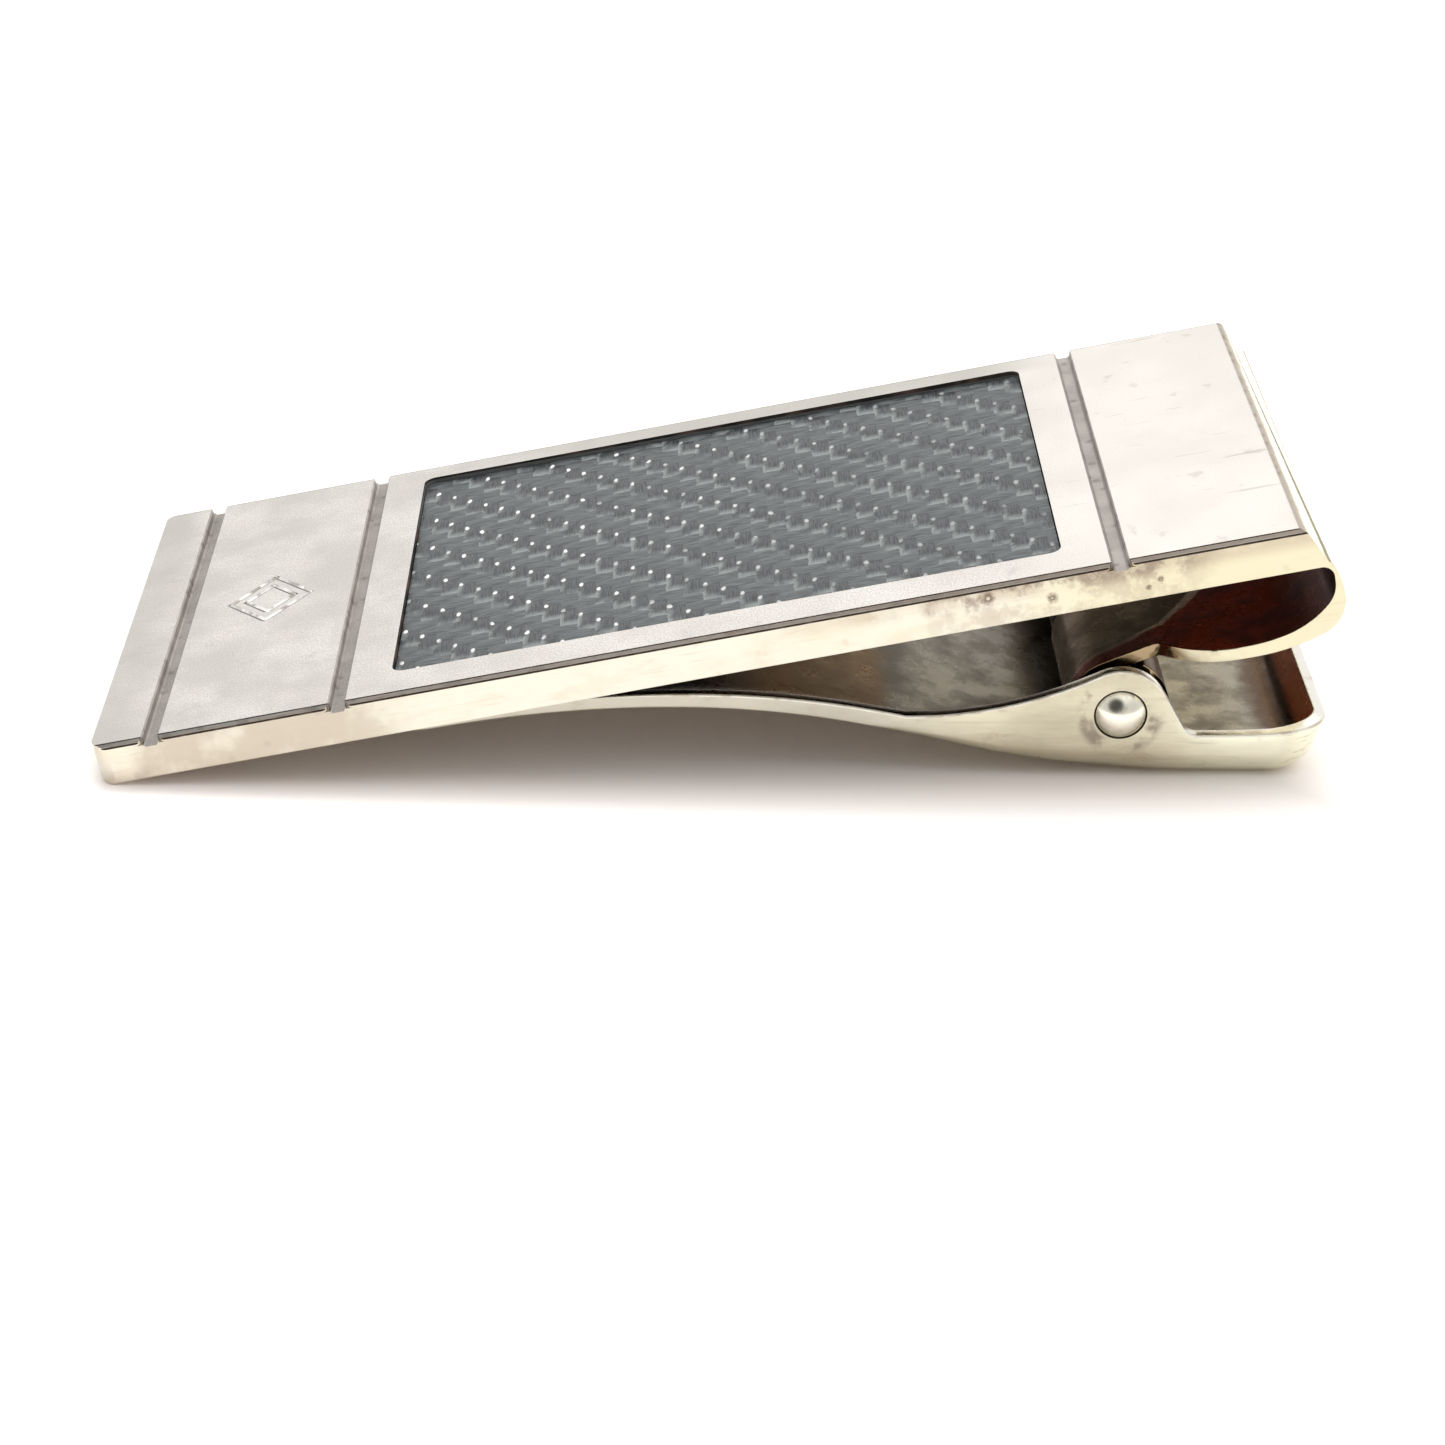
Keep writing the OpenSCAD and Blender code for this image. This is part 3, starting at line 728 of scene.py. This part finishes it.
def edge_cutter():
    """Takes off the near top edge: a fine line, the bevel and a second fine line, seen along x."""
    w, b = LINE_W, RIM_BEVEL
    profile = [(-1, 1), (b + w, 1), (b + w, 0), (b + w / 2, -0.06), (b, -0.02),
               (0.03, -b), (0.06, -b - w / 2), (0, -b - w), (-1, -b - w)]
    obj = prism(profile, -1, PAST_BEND, "z")
    obj.data.transform(Matrix(((0, 0, 1, 0), (1, 0, 0, 0), (0, 1, 0, 0), (0, 0, 0, 1))))
    return obj


def mirror_cutter(obj):
    """The same cutter at the far side."""
    copy = new_object("far", obj.data.copy())
    copy.data.transform(Matrix.Translation((0, CLIP_W, 0)) @ Matrix.Diagonal((1, -1, 1, 1)))
    copy.data.flip_normals()
    return copy


def flare_outline(x):
    """Widens a groove's mouth at the near side with two quarter rounds."""
    left = walk((x - FLARE, 0), 0, [(FLARE, 90)], 15)
    right = walk((x + GROOVE_W, FLARE), -90, [(FLARE, 90)], 15)
    return [(x - FLARE, -1)] + left + right + [(x + GROOVE_W + FLARE, -1)]


def groove_profile(x):
    """A groove's section from side to side, with worn rims and rounded foot corners."""
    half = [(-0.04, 1), (-0.04, 0), (0.03, -0.08), (0.06, 0.08 - GROOVE_DEPTH), (0.14, -GROOVE_DEPTH)]
    return [(x + dx, z) for dx, z in half] + [(x + GROOVE_W - dx, z) for dx, z in half[::-1]]


def plate_cutters():
    """All that is taken out of the plate's extruded section."""
    low = -3 * abs(PIN[1])
    return_top = -PLATE_T - 0.4
    start = PIN[0] - 2 * KNUCKLE_R
    turn = math.degrees(math.acos(1 - TONGUE_INSET / sum(NECK_ARCS)))
    neck = ([(NECK_START, -1)]
            + walk((NECK_START, 0), 180, [(NECK_ARCS[0], -turn), (NECK_ARCS[1], turn)])
            + [(start, TONGUE_INSET), (start, -1)])
    y0, y1 = MID_Y - SPRING_WINDOW / 2, MID_Y + SPRING_WINDOW / 2
    window = [(start, y0), (SPRING_WINDOW_END, y0), (SPRING_WINDOW_END, y1), (start, y1)]
    corner = ([(-1, -1), (TIP_CORNER_R, -1)]
              + walk((TIP_CORNER_R, 0), 180, [(TIP_CORNER_R, -90)], 9) + [(-1, TIP_CORNER_R)])
    cutters = [prism(window, low, return_top, "z")]
    near = [prism(neck, low, return_top, "z"), edge_cutter(), prism(corner, -PLATE_T - 1, 1, "z")]
    near += [prism(flare_outline(x), -GROOVE_DEPTH * 0.75, 1, "z") for x in GROOVES]
    cutters += near + [mirror_cutter(c) for c in near]
    pocket = rounded_rect(WINDOW_FROM_TIP, WINDOW_MARGIN, WINDOW_END, WINDOW_FAR, WINDOW_R)
    cutters.append(prism(pocket, -INLAY_RECESS - INLAY_T - ADHESIVE_T, 1, "z"))
    cutters += [prism(groove_profile(x), -1, CLIP_W + 1, "y") for x in GROOVES]
    return cutters + mark_cutters()


# The plate's materials, in the order of its material list.
TOP, SIDE, GROOVE, WALL, LINE, INSIDE, DIRT_AND_SHADE, MARK_LIT, GROOVE_LIT_WALL, MARK_SHADE = range(10)
KNUCKLE_SHADE = 2.6    # how far the painted shade on the knuckles reaches in from the sides
CLOSE = 0.02           # tolerance when a face is told by its place
BEND_FROM = 44         # x from which the faces under the plate belong to the bend and the strip


def plate_face_slot(centre, normal):
    """Index in the plate's material list for a face, from its place and direction."""
    x, y, z = centre
    nx, ny, nz = normal
    in_groove = any(start - 0.05 < x < start + GROOVE_W + 0.05 for start in GROOVES)
    in_window = (WINDOW_FROM_TIP - CLOSE < x < WINDOW_END + CLOSE
                 and WINDOW_MARGIN - CLOSE < y < WINDOW_FAR + CLOSE)
    from_side = min(y, CLIP_W - y)
    if z > -0.01 and nz > 0.98:
        return TOP
    if in_groove and -GROOVE_DEPTH - 0.05 < z < 0 and from_side > 0.12:
        # Groove walls near the tip that face the bend take the paler copy: painted light.
        return GROOVE_LIT_WALL if nx > 0.5 and x < WINDOW_FROM_TIP else GROOVE
    if in_window and -1.2 < z < -CLOSE:
        return WALL
    if abs(x - MARK_X) < MARK_L and -0.3 < z < -0.01 and from_side > 2:
        # The mark's walls take the lit copy when they face the near side and the shaded copy otherwise:
        # painted light and shade.
        return MARK_LIT if ny < 0 else MARK_SHADE
    if from_side < EDGE_BAND and -EDGE_BAND < z < 0 and abs(nx) < 0.3:
        slope = nz > 0.5 and abs(ny) > 0.5 and z > -RIM_BEVEL
        return LINE if slope and 0.05 < from_side < RIM_BEVEL - 0.03 else DIRT_AND_SHADE
    if -EDGE_BEVEL - CLOSE < z < 0 and 0.2 < nz and x < FACE_L + 0.3:
        return LINE
    inside_bend = x > BEND_FROM and z < -PLATE_T - 0.3 and abs(ny) < 0.6
    # Faces under the tongue and the knuckles near the sides take the grime material as painted shade.
    if inside_bend and x < 51.5 and (nz < -0.2 or x > PIN[0] + 0.8 and z < -6.4):
        return DIRT_AND_SHADE if from_side < KNUCKLE_SHADE else INSIDE
    return INSIDE if inside_bend and (nz > 0.3 and nx < 0.5 or nx < -0.2) else SIDE


def face_plate():
    obj = prism(plate_section(), 0, CLIP_W, "y")
    cut(obj, plate_cutters())

    def outside(edge, angle):
        """True for the corners below the top rim, but not for those of the pin's bore."""
        at = edge.verts[0].co
        return (angle > 40 and max(v.co.z for v in edge.verts) < -EDGE_BAND - 0.2
                and math.hypot(at.x - PIN[0], at.z - PIN[1]) > BORE_R + 0.1)

    soften(obj, 0.08, outside)
    obj.data.materials.clear()
    groove = groove_metal("groove_metal", (0.325, 0.305, 0.28), (0.42, 0.39, 0.36))
    # A paler copy of the groove metal for the groove walls near the tip that face the bend: painted light.
    groove_lit_wall = groove_metal("groove_lit_wall", (0.52, 0.49, 0.45), (0.52, 0.49, 0.45))
    # Lit and shaded copies of the mark's cut metal: painted light and shade.
    lit = engraving("engraving", (0.93, 0.91, 0.87), (0.42, 0.39, 0.36))
    shaded = engraving("engraving_shade", (0.13, 0.12, 0.11), (0.24, 0.22, 0.20))
    for material in (brushed_top(), polished_side(), groove, window_wall(), edge_line(),
                     bend_inside(), grime_and_shade(), lit, groove_lit_wall, shaded):
        obj.data.materials.append(material)
    for face in obj.data.polygons:
        face.material_index = plate_face_slot(face.center, face.normal)
    finish_piece(obj, "plate_body", "plate", PLATE_TO_ROW, "face_plate")
    weighted_normals(obj)


# ---- inlay
WEAVE_SAMPLES = 8      # mesh steps across a tow
WEAVE_H = 0.045        # relief from the tows' crowns down to where they dip
INLAY_GAP = 0.05       # between the inlay and its window


def weave_height(x, y):
    """Relief of the twill: the tow on top, rounded across its width and bowed along its float."""
    u = (x - WEAVE_START[0] + WEAVE_SKEW[0] * y) / WEAVE_PITCH[0]
    v = (y - WEAVE_START[1] + WEAVE_SKEW[1] * x) / WEAVE_PITCH[1]
    warp = np.sin(np.pi / 2 * (v + np.floor(u)))
    weft = -np.sin(np.pi / 2 * (u + np.floor(v)))
    warp_round, weft_round = (1 - (2 * (t - np.floor(t)) - 1) ** 4 for t in (u, v))
    return np.maximum(warp * warp_round, weft * weft_round)


def carbon_inlay():
    """A grid with the twill's relief, pulled in at the window's corners and closed below by a flat base."""
    sides = [np.linspace(INLAY_GAP, size - INLAY_GAP, int((size - 2 * INLAY_GAP) / pitch * WEAVE_SAMPLES))
             for size, pitch in zip((WINDOW_L, WINDOW_W), WEAVE_PITCH)]
    xs, ys = np.meshgrid(*sides, indexing="ij")
    nx, ny = xs.shape
    zs = (weave_height(xs, ys) - 1) * WEAVE_H
    cx = np.clip(xs, WINDOW_R, WINDOW_L - WINDOW_R)
    cy = np.clip(ys, WINDOW_R, WINDOW_W - WINDOW_R)
    reach = np.maximum(np.hypot(xs - cx, ys - cy), 1e-9)
    pull = np.minimum(1, (WINDOW_R - INLAY_GAP) / reach)
    xs, ys = cx + (xs - cx) * pull, cy + (ys - cy) * pull
    top = np.stack([xs + WINDOW_FROM_TIP, ys + WINDOW_MARGIN, zs - INLAY_RECESS], -1).reshape(-1, 3)
    index = np.arange(nx * ny).reshape(nx, ny)
    quads = np.stack([index[:-1, :-1], index[1:, :-1], index[1:, 1:], index[:-1, 1:]], -1).reshape(-1, 4)
    rim = np.concatenate([index[:-1, 0], index[-1, :-1], index[:0:-1, -1], index[0, :0:-1]])
    under = top[rim].copy()
    under[:, 2] = -INLAY_RECESS - INLAY_T
    base = np.arange(len(rim)) + len(top)
    walls = np.stack([np.roll(rim, -1), rim, base, np.roll(base, -1)], -1)
    faces = quads.tolist() + walls.tolist() + [base[::-1].tolist()]
    mesh = bpy.data.meshes.new("weave")
    mesh.from_pydata(np.concatenate([top, under]).tolist(), [], faces)
    obj = new_object("weave", mesh)
    mesh.materials.append(carbon())
    finish_piece(obj, "weave_inlay", "plate", PLATE_TO_ROW, "carbon_inlay", 60)


# ---- lever
LEVER_HALF = CLIP_W / 2 - LEVER_INSET
FLAT_START, FLAT_END = 52.5, 57.0      # the pan's level floor, which stands on the table
ARM_DIP, ARM_END_ANGLE = 16.8, 14.7
RISE_R, CREST_R, TIP_ARC_R = 40.0, 45.0, 58.0
TAIL_R, TAIL_TURN, TAIL_RIM = 1.7, 70.0, 2.69
FLANGE_START, FLANGE_AIM, FLANGE_TURN, FLANGE_R = 38.3, 1.0, 26.0, 20.0
ARM_ROUND_FROM, ARM_ROUND_TO = 37.0, 48.5
EAR_LEFT, EAR_RIGHT = 90 + FLANGE_AIM + FLANGE_TURN, 30.0
TAIL_FLOOR_R = 0.7
RISE_CENTRE = (FLAT_START, RISE_R)
CREST_CENTRE = polar(RISE_CENTRE, -RISE_R - CREST_R, 90 - ARM_DIP)
TIP_ARC_CENTRE = (CREST_CENTRE[0], CREST_CENTRE[1] + CREST_R - TIP_ARC_R)
ARM_END = TIP_ARC_CENTRE[0] - TIP_ARC_R * sin(ARM_END_ANGLE)
RISE_START = FLAT_START - RISE_R * sin(ARM_DIP)
LEVER_END = (FLAT_END + TAIL_R * sin(TAIL_TURN)
             + (TAIL_RIM - TAIL_R * (1 - cos(TAIL_TURN))) / tan(TAIL_TURN))


def bottom_z(x):
    """Height of the lever's underside above the table."""
    if x >= FLAT_START:
        return 0.0
    if x >= RISE_START:
        return RISE_R - math.sqrt(RISE_R ** 2 - (x - FLAT_START) ** 2)
    centre, radius = (CREST_CENTRE, CREST_R) if x >= CREST_CENTRE[0] else (TIP_ARC_CENTRE, TIP_ARC_R)
    return centre[1] + math.sqrt(radius ** 2 - (x - centre[0]) ** 2)


def rim_points():
    """The side's rim from the flange's start, over the ear, to the tail."""
    ear_end = polar(PIN_AT, EAR_R, EAR_LEFT)
    flange = walk(ear_end, EAR_LEFT + 90, [(FLANGE_R, -FLANGE_TURN)])[::-1]
    start = (FLANGE_START, flange[0][1] - (flange[0][0] - FLANGE_START) * tan(FLANGE_AIM))
    ear = walk(ear_end, EAR_LEFT - 90, [(EAR_R, EAR_RIGHT - EAR_LEFT)])[1:]
    tail = walk(ear[-1], EAR_RIGHT - 90, [(2.05, 0), (0.9, 60), (55, 6.5)], 1.5)[1:]
    return [start] + flange + ear + tail


def rim_cap(outer, inner, bulge):
    """Points from the outer to the inner corner of a sheet's edge, over its rounded rim."""
    middle = ((outer[0] + inner[0]) / 2, (outer[1] + inner[1]) / 2)
    half = ((outer[0] - inner[0]) / 2, (outer[1] - inner[1]) / 2)
    out = (-half[1], half[0])
    size = math.hypot(*out)
    points = []
    for k in range(1, 10):
        t = 18 * k
        a = math.copysign(abs(cos(t)) ** 0.6, cos(t))
        b = sin(t) ** 0.6 * bulge / size
        points.append((middle[0] + half[0] * a + out[0] * b, middle[1] + half[1] * a + out[1] * b))
    return points


RIM_ROUND = 0.14       # how far the rim's rounding stands up from the sheet's edge


def wall_section(radius, turn, height):
    """A bent-up wall's section: (outwards, up) from the floor's edge outside, over the rim, back inside."""
    def face(offset):
        r = radius - offset
        points = [polar((0, radius), r, stop * k / 10 - 90) for k in range(11)]
        run = max(height - RIM_ROUND * sin(stop) - outer_h, 0.0) / sin(turn)
        return points + [polar(points[-1], run * k / 3, turn) for k in (1, 2, 3)]

    stop = turn
    if height - RIM_ROUND < radius * (1 - cos(turn)):
        stop = math.degrees(math.acos(1 - max(height - RIM_ROUND, 0.02) / radius))
    outer_h = radius * (1 - cos(stop))
    outer, inner = face(0), face(SHEET_T)
    return outer + rim_cap(outer[-1], inner[-1], RIM_ROUND) + inner[::-1]


def edge_section(radius, height):
    """Section of the arm's edge, square but for small rounds, with as many points as a bent-up wall's."""
    low_r, lip = 0.15, height - SHEET_T
    top_r, inner_r = min(RIM_ROUND, lip), min(0.3, lip / 2)
    inside = radius - SHEET_T
    outer = [(0, 0)] + [polar((radius - low_r, low_r), low_r, 9 * k - 90) for k in range(1, 11)]
    outer += [(radius, low_r + (height - top_r - low_r) * k / 3) for k in (1, 2, 3)]
    inner = [(0, SHEET_T)] + [polar((inside - inner_r, SHEET_T + inner_r), inner_r, 9 * k - 90)
                              for k in range(1, 11)]
    inner += [(inside, SHEET_T + inner_r + (lip - top_r - inner_r) * k / 3) for k in (1, 2, 3)]
    return outer + rim_cap(outer[-1], inner[-1], top_r) + inner[::-1]


def mixed(a, b, share):
    """Points between those of a and those of b."""
    return [(p[0] + (q[0] - p[0]) * share, p[1] + (q[1] - p[1]) * share) for p, q in zip(a, b)]


def arm_lip(x):
    """Height of the arm's edge over its underside, which grows a little towards the ears."""
    return 0.70 + max(x - 24.0, 0.0) * 0.019


def lever_rows():
    """(floor edge point, outward angle in degrees, section) along the near half, from the arm's end."""
    rim = rim_points()
    rim_x, rim_z = [p[0] for p in rim], [p[1] for p in rim]
    r = LEVER_CORNER_R
    edge = edge_section(r, arm_lip(ARM_END))
    centre = (ARM_END + ARM_PLAN_R, ARM_PLAN_R - LEVER_HALF)
    angles = [180 + 7.5 * k for k in range(13)]
    rows = [(polar(centre, ARM_PLAN_R - r, angle), angle, edge) for angle in angles]
    corner_x = FLAT_END - TAIL_FLOOR_R
    xs = list(np.linspace(ARM_END + ARM_PLAN_R + 0.4, FLANGE_START, 56))
    for a, b in zip(rim[:-1], rim[1:]):
        parts = max(1, math.ceil((b[0] - a[0]) / 0.5))
        xs += [a[0] + (b[0] - a[0]) * k / parts for k in range(1, parts + 1)]
    for x in xs:
        if x > corner_x - 0.05:
            break
        height = float(np.interp(x, rim_x, rim_z)) - bottom_z(x) if x > FLANGE_START else arm_lip(x)
        share = min(max((x - ARM_ROUND_FROM) / (ARM_ROUND_TO - ARM_ROUND_FROM), 0.0), 1.0)
        section = mixed(edge_section(r, height), wall_section(r, 90, height), share)
        rows.append(((x, r - LEVER_HALF), -90, section))
    centre = (corner_x, r + TAIL_FLOOR_R - LEVER_HALF)
    for k in range(19):
        share = 0.5 - 0.5 * cos(10 * k)
        x = corner_x + (LEVER_END - corner_x) * sin(5 * k)
        section = wall_section(r + (TAIL_R - r) * share, 90 + (TAIL_TURN - 90) * share,
                               float(np.interp(x, rim_x, rim_z)))
        rows.append((polar(centre, TAIL_FLOOR_R, 5 * k - 90), 5 * k - 90, section))
    return rows


# The lever's materials, in the order of its material list.
OUTSIDE, INSIDE_PAN, RIM, SEAT, EDGE_HIGHLIGHT = range(5)
STEPS_UP = 13      # mesh strips from the floor's edge up to the rim, outside and inside alike
EDGE_STEPS = 3     # strips of the rim that carry the painted highlight


def lever_solid():
    """The pressing as one closed mesh: a loop of wall sections with a floor outside and inside."""
    bm = bmesh.new()
    near = lever_rows()
    loop = []
    for side, rows in ((1, near), (-1, near[::-1])):
        for at, angle, section in rows:
            verts = []
            for d, h in section:
                x, y = polar(at, d, angle)
                verts.append(bm.verts.new((x, side * y + MID_Y, bottom_z(x) + h)))
            loop.append(verts)
    count, per = len(loop), len(loop[0])
    rim_steps = per - 1 - 2 * STEPS_UP - EDGE_STEPS
    strip_slots = ([OUTSIDE] * STEPS_UP + [EDGE_HIGHLIGHT] * EDGE_STEPS + [RIM] * rim_steps
                   + [INSIDE_PAN] * STEPS_UP)
    for i in range(count):
        a, b = loop[i], loop[(i + 1) % count]
        for k in range(per - 1):
            face = bm.faces.new((a[k], b[k], b[k + 1], a[k + 1]))
            face.material_index = strip_slots[k]
    for i in range(len(near) - 1):
        far = count - 1 - i
        for k, index in ((0, OUTSIDE), (per - 1, INSIDE_PAN)):
            face = bm.faces.new((loop[i][k], loop[far][k], loop[far - 1][k], loop[i + 1][k]))
            face.material_index = index
    bmesh.ops.remove_doubles(bm, verts=bm.verts, dist=0.001)
    return solid_of(bm)


HEAD_GAP = 0.08        # round the rivet's head, and the depth of its seat


def disc(radius, y0, y1, sides=64):
    """A cutter round the pin's axis."""
    return prism([polar(PIN_AT, radius, 360 * k / sides) for k in range(sides)], y0, y1, "y")


def clip_lever():
    obj = lever_solid()
    for material in (lever_outside(), lever_inside(), rim_highlight_and_shade(), seat_shadow(), rim_edge_highlight()):
        obj.data.materials.append(material)
    seat = HEAD_R + HEAD_GAP
    cut(obj, [disc(JOURNAL_R, -1, CLIP_W + 1), disc(seat, LEVER_INSET - 1, LEVER_INSET + HEAD_GAP),
              disc(seat, CLIP_W - LEVER_INSET - HEAD_GAP, CLIP_W - LEVER_INSET + 1)])
    # Faces in the seat round the rivet head take the painted shadow.
    for face in obj.data.polygons:
        from_pin = math.hypot(face.center.x - PIN_AT[0], face.center.z - PIN_AT[1])
        sunk = LEVER_HALF - abs(face.center.y - MID_Y)
        if from_pin < seat + CLOSE and CLOSE < sunk < HEAD_GAP + CLOSE:
            face.material_index = SEAT
    finish_piece(obj, "lever_pressing", "lever", TABLE_TO_ROW, "clip_lever")
    weighted_normals(obj)


# ---- hinge pin and spring
def lathe(profile, sides=72):
    """Turns (radius, along) points about the pin's axis."""
    bm = bmesh.new()
    rings = []
    for radius, along in profile:
        count = sides if radius > 1e-6 else 1
        ring = [polar(PIN_AT, radius, 360 * k / sides) for k in range(count)]
        rings.append([bm.verts.new((x, MID_Y + along, z)) for x, z in ring])
    for a, b in zip(rings[:-1], rings[1:]):
        for k in range(sides):
            j = (k + 1) % sides
            quad = [a[k % len(a)], a[j % len(a)], b[j % len(b)], b[k % len(b)]]
            bm.faces.new(list(dict.fromkeys(quad)))
    return solid_of(bm)


def hinge_pin():
    """One turned solid: barrel, two journals and two domed heads."""
    barrel_end = LEVER_HALF - SHEET_T - 0.1
    seat = LEVER_HALF - HEAD_GAP
    dome_r = (HEAD_R ** 2 + HEAD_H ** 2) / (2 * HEAD_H)
    dome_turn = math.degrees(math.asin(HEAD_R / dome_r))
    dome_centre = (0, LEVER_HALF + HEAD_H - dome_r)
    dome = [polar(dome_centre, dome_r, 90 - dome_turn * k / 14) for k in range(14, -1, -1)]
    half = [(BARREL_R, barrel_end - 0.08), (BARREL_R - 0.08, barrel_end), (JOURNAL_R, barrel_end),
            (JOURNAL_R, seat), (HEAD_R - 0.03, seat)] + dome
    profile = [(r, -a) for r, a in half[::-1]] + half
    obj = lathe(profile)
    obj.data.materials.append(mirror_head())
    finish_piece(obj, "rivet_pin", "lever", TABLE_TO_ROW, "hinge_pin")


def hinge_spring():
    """A close coil round the barrel: one leg under the strip, one on the pan's floor."""
    coil_r = BARREL_R + 0.08 + WIRE_D / 2
    upper, lower = (6.2, 1.28), (6.2, -0.4)    # the legs, from where they leave the coil
    start = 90 + slope_of(*upper)
    turn = 360 * SPRING_TURNS + 180 - slope_of(*upper) + slope_of(*lower)
    length = turn / 360 * SPRING_PITCH

    def coil_at(a):
        x, z = polar(PIN_AT, coil_r, start + a)
        return np.array((x, MID_Y - length / 2 + length * a / turn, z))

    def leg(a, reach):
        return [coil_at(a) + np.array((reach[0], 0, reach[1])) * k / 8 for k in range(1, 9)]

    coil = [coil_at(a) for a in np.linspace(0, turn, 40 * SPRING_TURNS)]
    line = leg(0, upper)[::-1] + coil + leg(turn, lower)
    sides, faces, points = 12, [], []
    for k, point in enumerate(line):
        aim = line[min(k + 1, len(line) - 1)] - line[max(k - 1, 0)]
        aim = aim / np.linalg.norm(aim)
        side = np.cross(aim, (0, 1, 0))
        side = side / np.linalg.norm(side)
        up = np.cross(side, aim)
        angles = [360 * n / sides for n in range(sides)]
        points += [point + WIRE_D / 2 * (cos(a) * side + sin(a) * up) for a in angles]
    last = (len(line) - 1) * sides
    for first in range(0, last, sides):
        for n in range(sides):
            m = (n + 1) % sides
            faces.append((first + n, first + sides + n, first + sides + m, first + m))
    faces += [range(sides), range(last + sides - 1, last - 1, -1)]
    mesh = bpy.data.meshes.new("spring")
    mesh.from_pydata([tuple(p * MM) for p in points], [], faces)
    mesh.transform(TABLE_TO_ROW)
    mesh.shade_smooth()
    mesh.materials.append(spring_steel())
    obj = new_object("torsion_spring", mesh)
    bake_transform(obj)
    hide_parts("hinge_spring")


# ---- stage, light and camera
# The camera fitted to the photo: place in millimetres in the table frame, view direction and image x.
CAMERA_AT = Vector((27.81, -142.79, 75.84))
CAMERA_AIM = Vector((0.0135, 0.8920, -0.4518))
CAMERA_RIGHT = Vector((0.9999, -0.0099, 0.0103))
KEY_AT = Vector((-0.06, 0.16, 0.42))
PHOTOGRAPHER = (-0.30, -0.79, 0.53)    # direction of the tent's dark patch


def floor():
    """Pale table top that glows by itself: painted light, faint under and beside the clip and stronger away
    from it, tinted warm near the clip as painted bounce light.
    """
    bpy.ops.mesh.primitive_plane_add(size=3.0, location=(0, 0, 0))
    obj = bpy.context.object
    obj.name = "floor"
    s, x, y, _ = shader("pale_floor", TABLE_TO_ROW)
    s.colour = s.mix(s.ramp(s.noise(0.02, 2), 0.3, 0.7), (0.935, 0.915, 0.91), (0.92, 0.895, 0.89))
    in_front, beside = s.times(y, -1.0), s.minus(x, FACE_L)
    # Painted light: the floor's emission grows away from the clip so the shadow fades sooner, and its warm
    # tint near the clip paints bounce light into the shadow.
    clear = s.ramp(s.math("MAXIMUM", in_front, beside), -3, 4.2)
    tint = s.mix(clear, (1.0, 0.66, 0.48), (1.0, 0.99, 0.97))
    glow = s.ramp(clear, 0.0, 1.0, 0.4, 0.035)
    obj.data.materials.append(s.finish(0.8, Metallic=0.0, Specular_IOR_Level=0.2,
                                       Emission_Color=tint, Emission_Strength=glow))


def key_light():
    data = bpy.data.lights.new("key", "AREA")
    data.shape = "DISK"
    data.size = 0.22
    data.energy = 0.75
    obj = new_object("key", data)
    obj.location = KEY_AT
    obj.rotation_euler = (-KEY_AT).to_track_quat("-Z", "Y").to_euler()


def world_light():
    """A light tent: bright behind and above, dim in front, with a dark patch for the photographer."""
    world = bpy.data.worlds.new("studio")
    world.use_nodes = True
    n = Nodes(world.node_tree)
    direction = n.node("TexCoord").outputs["Generated"]
    _, y, z = n.separate(direction)
    toward = n.node("VectorMath", direction, PHOTOGRAPHER, operation="DOT_PRODUCT")
    tent = n.plus(n.ramp(y, -0.5, 0.5, 1.0, 0.72), n.ramp(z, 0.45, 0.95, 0.5))
    dark_patch = n.ramp(toward.outputs["Value"], 0.80, 0.93, 0.06, 1.0)
    background = n.tree.nodes["Background"]
    n.put(background.inputs["Strength"], n.times(tent, dark_patch))
    n.put(background.inputs["Color"], (1.0, 0.995, 0.985, 1.0))
    bpy.context.scene.world = world


def camera():
    """About 27 degrees above the table, in front of the clip's long side."""
    data = bpy.data.cameras.new("camera")
    data.sensor_width = 36.0
    data.lens = 84.4
    data.clip_start, data.clip_end = 0.01, 10.0
    obj = new_object("camera", data)
    forward = CAMERA_AIM.normalized()
    right = (CAMERA_RIGHT - CAMERA_RIGHT.dot(forward) * forward).normalized()
    turn = Matrix((right, right.cross(forward), -forward)).transposed().to_4x4()
    obj.matrix_world = Matrix.Translation(TABLE_TO_ROW @ (CAMERA_AT * MM)) @ turn
    bpy.context.scene.camera = obj


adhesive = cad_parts["inlay_adhesive"]
adhesive.data.materials.clear()
adhesive.data.materials.append(cured_epoxy())
face_plate()
carbon_inlay()
clip_lever()
hinge_pin()
hinge_spring()
floor()
world_light()
key_light()
camera()
bpy.context.scene.view_settings.view_transform = "Standard"
